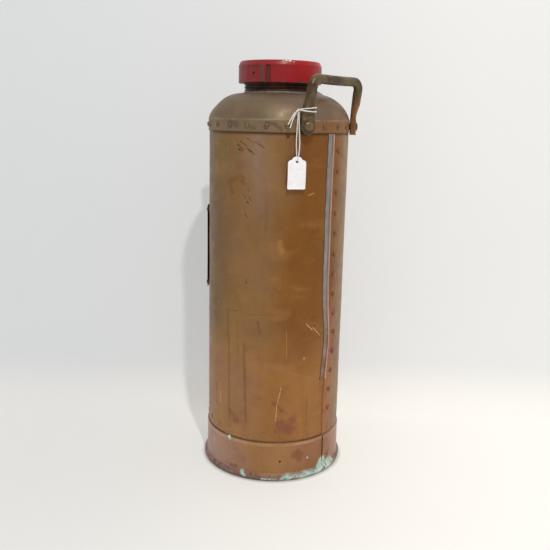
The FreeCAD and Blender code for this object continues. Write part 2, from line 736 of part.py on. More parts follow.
NODES = {
    "body_shell": body_shell, "foot_ring": foot_ring, "foot_bead_wire": foot_bead_wire,
    "bottom_head": bottom_head, "dome_band": dome_band, "dome_shoulder": dome_shoulder,
    "dome_top": dome_top, "neck_ring": neck_ring, "neck_solder": neck_solder,
    "seam_solder": seam_solder, "seam_rivets": seam_rivets, "band_rivets": band_rivets,
    "bottom_rivets": bottom_rivets, "handle": handle, "handle_rivets": handle_rivets,
    "handle_washers": handle_washers, "instruction_plate": instruction_plate,
    "plate_spacers": plate_spacers, "plate_rivets": plate_rivets, "jet_boss": jet_boss,
    "jet": jet, "strainer": strainer, "cage_ring": cage_ring, "cage_straps": cage_straps,
    "cage_hoop": cage_hoop, "cage_base": cage_base, "acid_bottle": acid_bottle,
    "stopper": stopper, "cap_washer": cap_washer, "cap": cap, "tag_card": tag_card,
    "tag_string": tag_string, "tag_knot": tag_knot, "tag_wrap": tag_wrap, "tag_tails": tag_tails,
}

for name, make in NODES.items():
    shape = make()
    shape.exportStep("parts/%s.step" % name)
    print("%-18s solids %2d  volume %9.1f mm3  valid %s"
          % (name, len(shape.Solids), shape.Volume, shape.isValid()))
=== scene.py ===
"""Looks of the riveted copper turnover extinguisher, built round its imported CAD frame.

Lengths are in millimetres and azimuths in degrees from +X, seen from above, until a mesh is
made; point() turns them into the frame's metres.
"""

import math
import random
from contextlib import contextmanager

import bpy
import bmesh
from mathutils import Matrix, Vector, noise


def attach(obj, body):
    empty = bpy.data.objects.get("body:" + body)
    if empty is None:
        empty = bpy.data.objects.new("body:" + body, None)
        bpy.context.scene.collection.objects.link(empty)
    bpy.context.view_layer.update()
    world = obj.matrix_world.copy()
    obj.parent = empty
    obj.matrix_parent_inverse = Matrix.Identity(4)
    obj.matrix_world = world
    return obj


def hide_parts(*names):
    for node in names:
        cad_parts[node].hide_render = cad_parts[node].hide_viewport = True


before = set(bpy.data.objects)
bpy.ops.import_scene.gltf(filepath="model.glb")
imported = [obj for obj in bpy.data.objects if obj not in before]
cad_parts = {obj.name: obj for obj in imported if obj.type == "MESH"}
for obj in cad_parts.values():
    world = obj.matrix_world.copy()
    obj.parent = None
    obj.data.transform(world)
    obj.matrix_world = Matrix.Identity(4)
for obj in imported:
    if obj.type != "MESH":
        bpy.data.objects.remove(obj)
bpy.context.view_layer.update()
random.seed(11)

MM = 0.001

# ---- sizes shared by several pieces -----------------------------------------------------------
SHELL_R = 89.0
LAP = 1.2
FOOT_TOP = 52.6
FOOT_R, FOOT_WALL, FLARE_R = 90.3, 1.25, 8.0
BEAD_R, BEAD_CENTRE_R, BEAD_Z = 4.75, 89.55, 4.7
BEAD_BORE, BEAD_CURL = 3.46, -232        # inside radius of the rolled edge, and where it ends in degrees
DOME_EDGE, DOME_R, DOME_WALL = 444.0, 90.25, 1.2
DOME_ARC_R, DOME_ARC = 43.11, (48.68, 447.4)
SEAM_AZ, LAP_EDGE = 92.9, 84.8
RIVET_PITCH = 360.0 / 23
BAND_FIRST, BAND_Z = 90.6, 451.5
SEAM_FIRST_Z, SEAM_PITCH = 61.6, 25.83
HANDLE_HALF, HANDLE_SEAT, HANDLE_RIVET_Z = 32.0, 90.6, 452.0
NECK_R = 44.8
CAP_R, CAP_BORE, CAP_LOW, CAP_TOP = 52.5, 45.2, 502.8, 528.9
THREAD_PITCH, THREAD_LOW = 4.0, 493.0
GRIP_Y, GRIP_Z, CORNER_X, CORNER_Z = 86.0, 506.3, 39.3, 495.3
KNOT_R, KNOT_AZ, KNOT_Z = 95.5, 50.9, 470.3
CARD_TOP = 417.3
STRING_D = 1.3
CAMERA_AZ = 37.4


def radial(azimuth):
    a = math.radians(azimuth)
    return Vector((math.cos(a), math.sin(a), 0))


def tangent(azimuth):
    return Vector((0, 0, 1)).cross(radial(azimuth))


def spot(r, azimuth, z):
    """Place in mm from radius, azimuth and height."""
    return radial(azimuth) * r + Vector((0, 0, z))


def point(r, azimuth, z):
    """The same place in metres."""
    return spot(r, azimuth, z) * MM


def smooth(low, high, x):
    t = min(1.0, max(0.0, (x - low) / (high - low)))
    return t * t * (3 - 2 * t)


def wrap(azimuth):
    """Azimuth difference folded into -180..180."""
    return (azimuth + 180.0) % 360.0 - 180.0


def linked(name, data):
    """New object in the scene for a mesh, curve, camera or light."""
    obj = bpy.data.objects.new(name, data)
    bpy.context.scene.collection.objects.link(obj)
    return obj


# ---- camera: first, so that the cords can be judged against it ---------------------------------
def make_camera():
    data = bpy.data.cameras.new("camera")
    data.sensor_width = 36.0
    data.lens = 46.34
    data.clip_start, data.clip_end = 0.05, 30.0
    cam = linked("camera", data)
    pitch, roll, yaw = math.radians(12.61), math.radians(1.29), math.radians(-0.05)
    heading = radial(CAMERA_AZ + 180 - math.degrees(yaw))
    forward = heading * math.cos(pitch) - Vector((0, 0, math.sin(pitch)))
    right = forward.cross(Vector((0, 0, 1))).normalized()
    up = right.cross(forward)
    right, up = (right * math.cos(roll) + up * math.sin(roll),
                 up * math.cos(roll) - right * math.sin(roll))
    away, height = 932.1, 462.4
    place = point(away, CAMERA_AZ, height)
    cam.matrix_world = Matrix((
        (right.x, up.x, -forward.x, place.x), (right.y, up.y, -forward.y, place.y),
        (right.z, up.z, -forward.z, place.z), (0, 0, 0, 1)))
    bpy.context.scene.camera = cam


make_camera()


# ---- mesh helpers ------------------------------------------------------------------------------
@contextmanager
def edited(mesh):
    """The mesh's points and faces, open for changes that go back into it."""
    bm = bmesh.new()
    bm.from_mesh(mesh)
    yield bm
    bm.to_mesh(mesh)
    bm.free()


def paint(obj, material):
    """The object's only material."""
    obj.data.materials.clear()
    obj.data.materials.append(material)


def add_object(name, verts, faces, material=None, smooth_angle=38.0, weld=False):
    """Object with a new mesh, its normals and creases set; weld merges the points that lie together."""
    mesh = bpy.data.meshes.new(name)
    mesh.from_pydata(verts, [], faces)
    if weld:
        with edited(mesh) as bm:
            bmesh.ops.remove_doubles(bm, verts=bm.verts, dist=1e-7)
    mesh.validate()
    obj = linked(name, mesh)
    finish_mesh(obj, material, smooth_angle)
    return obj


def finish_mesh(obj, material=None, smooth_angle=38.0):
    """Outward normals, smooth faces with creases kept sharp, one material."""
    limit = math.radians(smooth_angle)
    with edited(obj.data) as bm:
        bmesh.ops.recalc_face_normals(bm, faces=bm.faces)
        for face in bm.faces:
            face.smooth = True
        for edge in bm.edges:
            edge.smooth = len(edge.link_faces) != 2 or edge.calc_face_angle(0) < limit
    if material:
        paint(obj, material)


def lathe(name, profile, azimuths, material, shape, angle=38.0):
    """Closed (radius, height) outline turned about the axis; shape(k, r, z, az) returns (r, z, az)."""
    rows, cols = len(profile), len(azimuths)
    verts, faces = [], []
    for az in azimuths:
        for k, (r, z) in enumerate(profile):
            r, z, turned = shape(k, r, z, az)
            verts.append(point(r, turned, z))
    for c in range(cols):
        n = (c + 1) % cols
        for k in range(rows):
            m = (k + 1) % rows
            faces.append((c * rows + k, n * rows + k, n * rows + m, c * rows + m))
    return add_object(name, verts, faces, material, angle, weld=True)


def tube_faces(rings, around):
    """Faces of a tube through rings of points, one after the other, closed at both ends."""
    faces = []
    for i in range(rings - 1):
        for k in range(around):
            a, b = i * around + k, i * around + (k + 1) % around
            faces.append((a, b, b + around, a + around))
    last = (rings - 1) * around
    return faces + [tuple(range(around)), tuple(last + k for k in reversed(range(around)))]


def thin_sheet(name, columns, rows, place, material, angle):
    """Thin closed sheet through place(front, column, row): its front, its back and its rim."""
    verts = [place(front, u, v) for front in (True, False) for u in columns for v in rows]
    n, m = len(columns), len(rows)
    faces = []
    for base in (0, n * m):
        for i in range(n - 1):
            for j in range(m - 1):
                a, b = base + i * m + j, base + (i + 1) * m + j
                faces.append((a, b, b + 1, a + 1))
    rim = [i * m for i in range(n)] + [(n - 1) * m + j for j in range(1, m)]
    rim += [i * m + m - 1 for i in range(n - 2, -1, -1)] + [j for j in range(m - 2, 0, -1)]
    faces += [(a, b, b + n * m, a + n * m) for a, b in zip(rim, rim[1:] + rim[:1])]
    return add_object(name, verts, faces, material, angle)


def steps(a, b, count):
    """Evenly spaced values from a to b, both included."""
    return [a + (b - a) * k / (count - 1) for k in range(count)]


def arc_points(centre, radius, start, end, count):
    return [(centre[0] + radius * math.cos(math.radians(t)), centre[1] + radius * math.sin(math.radians(t)))
            for t in steps(start, end, count)]


def azimuth_columns(base_step, dense=()):
    """Azimuths round the circle, closer together inside each (from, to, step) stretch."""
    values = set()
    az = -180.0
    while az < 180.0 - 1e-6:
        if not any(low <= az <= high for low, high, _ in dense):
            values.add(round(az, 4))
        az += base_step
    for low, high, step in dense:
        az = low
        while az <= high + 1e-6:
            values.add(round(wrap(az), 4))
            az += step
    return sorted(values)


def join(name, objs, material):
    """Several meshes as one object."""
    mesh = bpy.data.meshes.new(name)
    with edited(mesh) as bm:
        for obj in objs:
            bm.from_mesh(obj.data)
    joined = linked(name, mesh)
    for obj in objs:
        bpy.data.objects.remove(obj)
    paint(joined, material)
    return joined


def bore(obj, r, az, z, inside, outside):
    """Cut a round hole of radius r straight out through a wall, between two radii from the axis."""
    mesh = bpy.data.meshes.new("cutter")
    with edited(mesh) as bm:
        bmesh.ops.create_cone(bm, cap_ends=True, segments=20, radius1=r * MM, radius2=r * MM,
                              depth=(outside - inside) * MM)
    turn = radial(az).to_track_quat("Z", "Y").to_matrix().to_4x4()
    mesh.transform(Matrix.Translation(point((inside + outside) / 2, az, z)) @ turn)
    cutter = linked("cutter", mesh)
    modifier = obj.modifiers.new("hole", "BOOLEAN")
    modifier.object = cutter
    modifier.operation = "DIFFERENCE"
    modifier.solver = "EXACT"
    graph = bpy.context.evaluated_depsgraph_get()
    made = bpy.data.meshes.new_from_object(obj.evaluated_get(graph))
    obj.modifiers.clear()
    obj.data = made
    bpy.data.objects.remove(cutter)


def rough(x, y, z, scale):
    """Repeatable smooth noise, about -1..1."""
    return noise.noise(Vector((x, y, z)) * scale)


# ---- shader helpers ----------------------------------------------------------------------------
def linear(rgb):
    """Linear colour from an ordinary 0-255 one."""
    out = []
    for c in rgb:
        c /= 255.0
        out.append(c / 12.92 if c <= 0.04045 else ((c + 0.055) / 1.055) ** 2.4)
    return (*out, 1.0)


class Nodes:
    """A node tree with short calls for the nodes used here."""

    def __init__(self, tree):
        self.tree = tree

    def node(self, kind, inputs=None, **settings):
        made = self.tree.nodes.new(kind)
        for key, value in settings.items():
            setattr(made, key, value)
        for key, value in (inputs or {}).items():
            self.put(made.inputs[key], value)
        return made

    def put(self, socket, value):
        if isinstance(value, bpy.types.NodeSocket):
            self.tree.links.new(value, socket)
        else:
            socket.default_value = value

    def vector(self, op, *values, output=0):
        return self.node("ShaderNodeVectorMath", dict(enumerate(values)), operation=op).outputs[output]


class Shader(Nodes):
    """A material's node tree."""

    def __init__(self, name, roughness=0.5, metallic=0.0, ior=1.5, specular=0.5):
        self.material = bpy.data.materials.new(name)
        self.material.use_nodes = True
        super().__init__(self.material.node_tree)
        self.bsdf = self.tree.nodes["Principled BSDF"]
        for socket, value in (("Roughness", roughness), ("Metallic", metallic), ("IOR", ior),
                              ("Specular IOR Level", specular)):
            self.put(self.bsdf.inputs[socket], value)
        self.coords = self.node("ShaderNodeTexCoord").outputs["Object"]

    def math(self, op, a, b=0.0):
        return self.node("ShaderNodeMath", {0: a, 1: b}, operation=op).outputs[0]

    def mul(self, a, b, *more):
        """Product of two or more values."""
        product = self.math("MULTIPLY", a, b)
        return self.mul(product, *more) if more else product

    def add(self, a, b):
        return self.math("ADD", a, b)

    def sub(self, a, b):
        return self.math("SUBTRACT", a, b)

    def between(self, factor, low, high):
        """Colour between two rgb ones."""
        return self.mix(factor, linear(low), linear(high))

    def mix(self, factor, a, b, blend="MIX"):
        made = self.node("ShaderNodeMix", {0: factor, 6: a, 7: b}, data_type="RGBA", blend_type=blend)
        return made.outputs[2]

    def tint(self, color, mask, strength, rgb, texture=None):
        """Colour with a stain laid over it."""
        share = self.mul(mask, strength)
        if texture is not None:
            share = self.mul(share, texture)
        return self.mix(share, color, linear(rgb))

    def span(self, value, low, high, to_low=0.0, to_high=1.0):
        """Smooth step of a value between two limits."""
        made = self.node("ShaderNodeMapRange", {0: value, 1: low, 2: high, 3: to_low, 4: to_high},
                         interpolation_type="SMOOTHSTEP")
        return made.outputs[0]

    def window(self, value, low, full, full_until, high):
        """1 from full to full_until, easing to 0 at low and at high."""
        return self.mul(self.span(value, low, full), self.span(value, high, full_until))

    def stretch(self, vector, scale):
        return self.node("ShaderNodeMapping", {"Vector": vector, "Scale": scale}).outputs[0]

    def noise(self, scale, detail=4.0, roughness=0.55, distortion=0.0, vector=None):
        made = self.node("ShaderNodeTexNoise", {"Vector": vector or self.coords, "Scale": scale,
                                                "Detail": detail, "Roughness": roughness,
                                                "Distortion": distortion})
        return made.outputs["Fac"]

    def cells(self, scale):
        return self.node("ShaderNodeTexVoronoi", {"Vector": self.coords, "Scale": scale}).outputs["Distance"]

    def ramp(self, share, stops):
        """Colour by how far round, through (degrees from the camera's side, rgb) stops."""
        made = self.node("ShaderNodeValToRGB", {0: share})
        elements = made.color_ramp.elements
        for angle, _ in stops[1:-1]:
            elements.new(angle / 360 + 0.5)
        for element, (_, rgb) in zip(elements, stops):
            element.color = linear(rgb)
        return made.outputs["Color"]

    def around_share(self, around, wander=0.035):
        """0-1 over the whole turn centred on the camera's side, with a ragged course."""
        push = self.mul(self.sub(self.noise(14.0, 5.0, 0.6, 0.4), 0.5), wander)
        return self.add(self.math("DIVIDE", self.add(around, push), 2 * math.pi * SHELL_R * MM), 0.5)

    def wobble(self, vector, scale, amount):
        """Vector pushed about by noise, so that lines drawn on it aren't ruled."""
        made = self.node("ShaderNodeTexNoise", {"Vector": self.coords, "Scale": scale, "Detail": 3.0})
        centred = self.vector("SUBTRACT", made.outputs["Color"], (0.5, 0.5, 0.5))
        return self.vector("MULTIPLY_ADD", centred, (amount, amount, amount), vector)

    def along(self, direction):
        """How far a place lies in a level direction."""
        x, y, _ = self.split(self.coords)
        return self.add(self.mul(x, direction.x), self.mul(y, direction.y))

    def split(self, vector):
        return self.node("ShaderNodeSeparateXYZ", {0: vector}).outputs

    def skin(self):
        """The round wall rolled out flat: metres round it from the camera's side, and height."""
        z = self.split(self.coords)[2]
        forward = self.along(radial(CAMERA_AZ))
        around = self.mul(self.math("ARCTAN2", self.along(tangent(CAMERA_AZ)), forward), SHELL_R * MM)
        return self.node("ShaderNodeCombineXYZ", {0: around, 1: z, 2: 0.0}).outputs[0]

    def bump(self, height, distance, strength=1.0, normal=None):
        inputs = {"Height": height, "Distance": distance, "Strength": strength}
        if normal is not None:
            inputs["Normal"] = normal
        return self.node("ShaderNodeBump", inputs).outputs[0]

    def finish(self, color, roughness=None, normal=None, metallic=None):
        self.put(self.bsdf.inputs["Base Color"], color)
        for socket, value in (("Roughness", roughness), ("Normal", normal), ("Metallic", metallic)):
            if value is not None:
                self.put(self.bsdf.inputs[socket], value)
        return self.material


def stroke_group():
    """Node group adding one soft line to a mask.

    The vector carries the place on the rolled-out skin in X and Y and the mask so far in Z.
    Slope is the line's run divided by its squared length, so its dot product is a share of it.
    """
    tree = bpy.data.node_groups.new("stroke", "ShaderNodeTree")
    face = tree.interface
    for name in ("Place", "Start", "Run", "Slope"):
        face.new_socket(name, in_out="INPUT", socket_type="NodeSocketVector")
    for name in ("Fall", "Peak"):
        face.new_socket(name, in_out="INPUT", socket_type="NodeSocketFloat")
    face.new_socket("Place", in_out="OUTPUT", socket_type="NodeSocketVector")
    n = Nodes(tree)
    into, out = n.node("NodeGroupInput").outputs, n.node("NodeGroupOutput").inputs
    rel = n.vector("SUBTRACT", into["Place"], into["Start"])
    flat = n.vector("MULTIPLY", rel, (1, 1, 0))
    share = n.vector("DOT_PRODUCT", flat, into["Slope"], output="Value")
    inside = n.node("ShaderNodeMath", {0: share, 1: 0.0}, operation="ADD", use_clamp=True).outputs[0]
    foot = n.node("ShaderNodeVectorMath", {0: into["Run"], "Scale": inside}, operation="SCALE").outputs[0]
    gap = n.vector("DISTANCE", flat, foot, output="Value")
    mask = n.node("ShaderNodeMath", {0: gap, 1: into["Fall"], 2: into["Peak"]},
                  operation="MULTIPLY_ADD", use_clamp=True).outputs[0]
    lift = n.node("ShaderNodeCombineXYZ", {0: -10.0, 1: -10.0, 2: mask}).outputs[0]
    n.put(out["Place"], n.vector("MAXIMUM", into["Place"], lift))
    return tree


STROKE = stroke_group()


def rolled_out(az, z):
    """Place on the rolled-out skin, in metres, of an azimuth and a height."""
    return Vector(((az - CAMERA_AZ) * math.pi / 180 * SHELL_R * MM, z * MM, 0.0))


def strokes(shader, where, *sets):
    """Mask of each set of soft lines (az0, z0, az1, z1, half width) on the round wall."""
    masks = []
    for marks in sets:
        around, height, _ = shader.split(where)
        where = shader.node("ShaderNodeCombineXYZ", {0: around, 1: height, 2: 0.0}).outputs[0]
        for az0, z0, az1, z1, width in marks:
            start, run = rolled_out(az0, z0), rolled_out(az1, z1) - rolled_out(az0, z0)
            where = shader.node("ShaderNodeGroup", {
                "Place": where, "Start": start, "Run": run, "Slope": run / run.length_squared,
                "Fall": -1.0 / (width * MM), "Peak": 1.5}, node_tree=STROKE).outputs[0]
        masks.append(shader.split(where)[2])
    return masks


# ---- materials ---------------------------------------------------------------------------------
# A mark is (azimuth, height, azimuth, height, half width), in degrees and mm.
def scattered(seed, count, azimuths, heights, run, width):
    """Short lines strewn over a patch, all leaning much the same way."""
    dice = random.Random(seed)
    marks = []
    for _ in range(count):
        az, z, size = dice.uniform(*azimuths), dice.uniform(*heights), dice.uniform(0.6, 1.3)
        marks.append((az, z, az + run[0] * size, z + run[1] * size, width * dice.uniform(0.8, 1.3)))
    return marks


def trails(*lines):
    """Bent lines, each a half width and then the (azimuth, height) places it passes."""
    return [(*start, *end, width) for width, *places in lines for start, end in zip(places, places[1:])]


SCRATCHES = trails(
    (0.5, (19, 434), (27, 424)), (0.5, (20, 437), (28, 423)), (0.4, (13, 266), (14, 261)),
    (0.8, (43, 443), (44, 439)), (0.7, (45, 442), (45, 438)), (0.8, (72, 206), (73, 205)))
SCRATCHES += scattered(4, 7, (3, 15), (422, 440), (5, -5), 0.5)
SCRATCHES += scattered(9, 5, (10, 17), (340, 400), (2, -4), 0.5)
SCRATCHES += scattered(21, 7, (130, 210), (80, 420), (5, -9), 0.5)
SCRATCHES += scattered(23, 5, (-140, -60), (60, 220), (4, -8), 0.5)
TEAL_LINES = trails((0.7, (-18, 432), (-9, 432), (-8, 416)), (1.5, (-21, 116), (-20, 106)))
GREEN_TINTS = trails((1.8, (-9, 420), (-9, 404)), (1.3, (-3, 404), (-3, 396)), (1.1, (-1, 418), (7, 420)))
YELLOW_TINTS = trails((1.3, (-1, 437), (4, 428), (12, 434)), (1.0, (5, 438), (12, 437)))
DRIPS = trails(
    (1.4, (-5, 222), (-3, 176), (-2, 73)), (1.8, (12, 182), (15, 78)), (0.6, (-9, 222), (6, 224)),
    (0.6, (14, 221), (38, 223)), (0.7, (67, 112), (67, 72)))
DRIPS += scattered(31, 5, (130, 212), (230, 420), (1, -80), 1.3)
DRIPS += scattered(33, 4, (-138, -40), (160, 240), (1, -60), 1.3)
BRIGHT_MARKS = trails(
    (0.4, (44, 127), (41, 105), (40, 82)), (0.5, (64, 209), (70, 201)), (0.4, (71, 203), (78, 192)),
    (0.4, (62, 371), (67, 373)), (0.4, (-27, 306), (-27, 298)), (0.9, (63, 165), (63, 164)),
    (0.8, (-17, 229), (-17, 228)), (0.4, (-13, 108), (-13, 92)))
FAINT_LIGHT = trails((0.6, (47, 202), (48, 166)), (3.4, (40, 314), (42, 302)))
RED_STAINS = trails(
    (3.0, (-4, 382), (3, 388), (10, 389), (12, 383)), (2.6, (-2, 381), (-2, 374)),
    (1.1, (24, 278), (24, 277)), (3.6, (61, 331), (65, 326)))
PURPLE_STAINS = trails(
    (2.2, (23, 211), (25, 198)), (3.2, (39, 104), (45, 97)), (1.8, (27, 114), (27, 112)),
    (7.0, (44, 78), (52, 70)), (4.5, (42, 68), (55, 84)), (4.0, (-2, 86), (6, 76)))
PURPLE_STAINS += scattered(41, 4, (130, 205), (70, 380), (8, 6), 4.0)
RED_MARKS = trails(
    (1.6, (86, 87), (88, 86), (87, 80)), (1.3, (89, 112), (88, 98)), (1.2, (95, 190), (94, 160)))
PINK_STRIP = trails((2.8, (91, 240), (93, 186), (90, 140), (88, 100), (90, 60)))
LONE_SPOTS = trails(
    (2.2, (13, 9), (15, 5)), (0.9, (69, 27), (69, 26)), (2.0, (-1, 51), (-1, 49)), (1.3, (30, 3), (41, 3)))
FOOT_GASHES = trails((0.35, (85, 51), (85, 9)), (1.1, (86, 7), (87, 2)), (0.8, (92, 20), (93, 18)))
FOOT_PATCHES = trails((5.0, (57, 34), (62, 32)), (3.4, (60, 38), (61, 27)), (2.2, (1, 12), (7, 13)))

# The copper's palette, and where round each piece it changes, in degrees from the camera's side. Round the
# seen side these tones, the cap's reds too, hold painted light and shade as well as the patina and paint.
OLIVE, OCHRE, TAN, AMBER = (126, 97, 60), (148, 110, 70), (160, 128, 102), (131, 84, 34)
CLAY, RUSSET, ROSE = (162, 118, 78), (154, 106, 60), (168, 134, 116)
UMBER, BROWN = (148, 102, 70), (142, 108, 78)
DRAB, FAWN, BRASSY, FOXY = (122, 104, 84), (130, 104, 80), (138, 116, 90), (142, 98, 58)
TOP_TONES = [(-180, BROWN), (-95, BROWN), (-60, OLIVE), (-30, OCHRE), (-16, TAN), (0, OCHRE),
             (20, AMBER), (50, AMBER), (64, BROWN), (180, BROWN)]
MIDDLE_TONES = [(-180, BROWN), (-95, BROWN), (-60, OLIVE), (-28, OCHRE), (-12, OCHRE),
                (12, AMBER), (50, AMBER), (64, BROWN), (180, BROWN)]
LOW_TONES = [(-180, BROWN), (-75, CLAY), (-20, CLAY), (0, RUSSET), (50, RUSSET), (64, BROWN), (180, BROWN)]
FOOT_TONES = [(-180, ROSE), (-50, ROSE), (-15, CLAY), (8, CLAY),
              (35, UMBER), (50, UMBER), (75, ROSE), (180, ROSE)]
DOME_TONES = [(-180, FAWN), (-90, DRAB), (20, DRAB), (60, FAWN), (180, FAWN)]
BAND_TONES = [(-180, FOXY), (-120, BRASSY), (0, BRASSY), (40, FOXY), (180, FOXY)]
CAP_TONES = [(-180, (150, 18, 22)), (-100, (138, 52, 56)), (-60, (138, 40, 44)), (0, (148, 34, 38)),
             (40, (162, 18, 22)), (180, (150, 18, 22))]


def gloss(s, low, high):
    """Roughness that wanders between two values."""
    return s.span(s.noise(70.0, 5.0, 0.6), 0.3, 0.7, low, high)


def hammered(s, fine=0.3, scale=45.0, coarse=0.3):
    """Surface normal of worked sheet: fine grain on shallow dints."""
    normal = s.bump(s.noise(420.0, 3.0, 0.6), 0.0002, fine)
    return s.bump(s.noise(scale, 3.0), 0.0012, coarse, normal)


def weathered(s, color, strength=1.0):
    """Uneven browning over a base: broad clouds, darker blots, faint wash marks and fine specks."""
    clouds = s.span(s.noise(13.0, 6.0, 0.6, 0.6), 0.3, 0.7, 0.87, 1.12)
    blue = s.span(s.noise(19.0, 5.0, 0.6), 0.3, 0.7, 0.8, 1.18)
    hazy = s.node("ShaderNodeCombineColor", {0: clouds, 1: clouds, 2: blue})
    color = s.mix(0.8 * strength, color, hazy.outputs[0], "MULTIPLY")
    blots = s.span(s.noise(38.0, 6.0, 0.65, 0.4), 0.54, 0.74)
    color = s.tint(color, blots, 0.3 * strength, (112, 72, 40))
    wash = s.noise(1.0, 5.0, 0.6, 0.3, s.stretch(s.coords, (60.0, 60.0, 7.0)))
    color = s.mix(s.span(wash, 0.5, 0.78, 0.0, 0.22 * strength), color, linear((100, 68, 38)))
    rubbed = s.noise(1.0, 4.0, 0.6, 0.5, s.stretch(s.coords, (24.0, 24.0, 46.0)))
    color = s.mix(s.span(rubbed, 0.5, 0.75, 0.0, 0.25 * strength), color, linear((178, 132, 88)))
    specks = s.mul(s.span(s.cells(330.0), 0.16, 0.08), s.span(s.noise(60.0, 3.0), 0.56, 0.64))
    return s.tint(color, specks, 0.4, (70, 44, 30))


def copper_wall():
    """The tank's own skin with every stain, scratch and drip, with painted shade under the crown's edge, and
    grime and painted shade above the skirt.
    """
    s = Shader("copper_wall", metallic=0.5, specular=0.3)
    where = s.skin()
    around, height, _ = s.split(where)
    purple, stain, pink, green, yellow, red = strokes(
        s, s.wobble(where, 75.0, 0.016),
        PURPLE_STAINS, RED_STAINS, PINK_STRIP, GREEN_TINTS, YELLOW_TINTS, RED_MARKS)
    teal, drips, scratch, faint, bright = strokes(
        s, s.wobble(where, 260.0, 0.0026), TEAL_LINES, DRIPS, SCRATCHES, FAINT_LIGHT, BRIGHT_MARKS)
    share = s.around_share(around)
    level = s.add(height, s.mul(s.sub(s.noise(10.0, 5.0, 0.6, 0.5), 0.5), 0.12))
    color = s.mix(s.span(level, 0.13, 0.22), s.ramp(share, LOW_TONES), s.ramp(share, MIDDLE_TONES))
    color = s.mix(s.span(level, 0.31, 0.41), color, s.ramp(share, TOP_TONES))
    color = weathered(s, color)
    behind = s.span(s.math("ABSOLUTE", around), 0.095, 0.145)
    patina = s.mul(behind, s.span(s.noise(8.0, 6.0, 0.65, 0.9), 0.46, 0.68))
    color = s.tint(color, patina, 0.5, (96, 78, 50))
    rosy = s.mul(behind, s.span(s.noise(11.0, 5.0, 0.65, 0.6), 0.52, 0.7))
    color = s.tint(color, rosy, 0.4, (168, 118, 88))
    ragged = s.span(s.noise(120.0, 5.0, 0.7), 0.36, 0.6, 0.15, 1.0)
    blotchy = s.span(s.noise(55.0, 5.0, 0.65), 0.33, 0.55, 0.25, 1.0)
    broken = s.span(s.noise(150.0, 3.0), 0.36, 0.56, 0.35, 1.0)
    chipped = s.span(s.noise(300.0), 0.3, 0.5, 0.5, 1.0)
    for mask, strength, rgb, texture in (
            (purple, 0.72, (132, 78, 62), blotchy), (stain, 0.36, (104, 58, 40), ragged),
            (pink, 0.6, (170, 90, 80), ragged), (green, 0.6, (98, 118, 72), ragged),
            (yellow, 0.7, (152, 130, 48), ragged), (teal, 0.75, (72, 88, 88), ragged),
            (drips, 0.34, (96, 64, 38), None), (scratch, 0.8, (66, 40, 40), broken),
            (faint, 0.3, (196, 150, 84), None), (bright, 0.75, (224, 184, 140), chipped),
            (red, 0.8, (168, 44, 46), ragged)):
        color = s.tint(color, mask, strength, rgb, texture)
    # Grime and painted shade: the wall darkens just above the skirt's top edge.
    grime_and_shade = s.mul(s.span(height, 0.0555, 0.0533), s.span(s.noise(90.0, 5.0), 0.34, 0.6, 0.3, 1.0))
    color = s.tint(color, grime_and_shade, 0.55, (84, 60, 42))
    # Painted shade: a dark band on the wall just under the crown's lower edge.
    color = s.tint(color, s.span(height, 0.4395, 0.4435), 0.75, (66, 40, 22))
    normal = s.bump(s.mul(scratch, -1.0), 0.0003, 0.7, hammered(s, 0.25, 38.0))
    return s.finish(color, gloss(s, 0.36, 0.5), normal)


def foot_copper():
    """The skirt: paler bead, a painted shade line along its top edge with a painted highlight under it, and
    verdigris creeping up from the floor.
    """
    s = Shader("copper_foot", specular=0.3)
    where = s.skin()
    around, height, _ = s.split(where)
    color = weathered(s, s.ramp(s.around_share(around), FOOT_TONES), 0.9)
    lone, patch = strokes(s, s.wobble(where, 190.0, 0.003), LONE_SPOTS, FOOT_PATCHES)
    gash = strokes(s, where, FOOT_GASHES)[0]
    ragged = s.noise(110.0, 6.0, 0.7, 0.4)
    color = s.tint(color, patch, 0.55, (116, 70, 46), s.span(ragged, 0.3, 0.5, 0.5, 1.0))
    # Painted highlight: a pale band under the skirt's top edge, where its rounded shoulder catches the light.
    rim = s.window(height, 0.0462, 0.0482, 0.0503, 0.0514)
    color = s.tint(color, rim, 0.42, (210, 170, 132), s.span(s.noise(40.0, 4.0), 0.35, 0.6, 0.2, 1.0))
    # Painted shade: a dark line along the skirt's top edge.
    color = s.tint(color, s.span(height, 0.0513, 0.0523), 0.75, (84, 60, 42))
    bead = s.span(height, 0.0105, 0.0085)
    color = s.tint(color, bead, 0.7, (146, 116, 108))
    color = s.tint(color, s.mul(bead, s.span(ragged, 0.44, 0.6)), 0.6, (104, 76, 64))
    reach = 0.0
    for low, high, change in ((0.006, 0.016, 0.0085), (0.060, 0.073, 0.0135), (0.0765, 0.081, -0.008),
                              (0.094, 0.106, -0.0095), (0.2, 0.26, -0.0045)):
        reach = s.add(reach, s.mul(s.span(around, low, high), change))
    edge = s.add(s.mul(s.sub(reach, height), 75.0), ragged)
    patchy = s.span(s.noise(48.0, 5.0, 0.65), 0.36, 0.5, 0.25, 1.0)
    rust = s.mul(s.span(edge, 0.3, 0.8), patchy)
    rust = s.mul(s.math("MAXIMUM", rust, s.mul(lone, s.span(ragged, 0.3, 0.5))), 0.92)
    chalky = s.span(s.noise(130.0, 5.0, 0.65), 0.36, 0.64)
    shade = s.between(chalky, (158, 200, 186), (226, 234, 228))
    color = s.mix(rust, color, shade)
    color = s.tint(color, gash, 0.8, (54, 38, 30))
    worn = s.math("MAXIMUM", rust, bead)
    roughness = s.add(gloss(s, 0.36, 0.5), s.mul(worn, 0.25))
    normal = s.bump(s.noise(420.0, 3.0, 0.6), 0.0002, 0.3)
    normal = s.bump(s.noise(60.0, 5.0, 0.6), 0.0014, 0.45, normal)
    normal = s.bump(s.mul(rust, ragged), 0.0012, 0.7, normal)
    return s.finish(color, roughness, normal, s.mul(s.sub(1.0, rust), 0.5))


DOME_SMUDGES = trails((3.0, (-4, 455), (4, 454)), (2.4, (14, 452), (18, 449)), (2.2, (28, 456), (40, 450)))


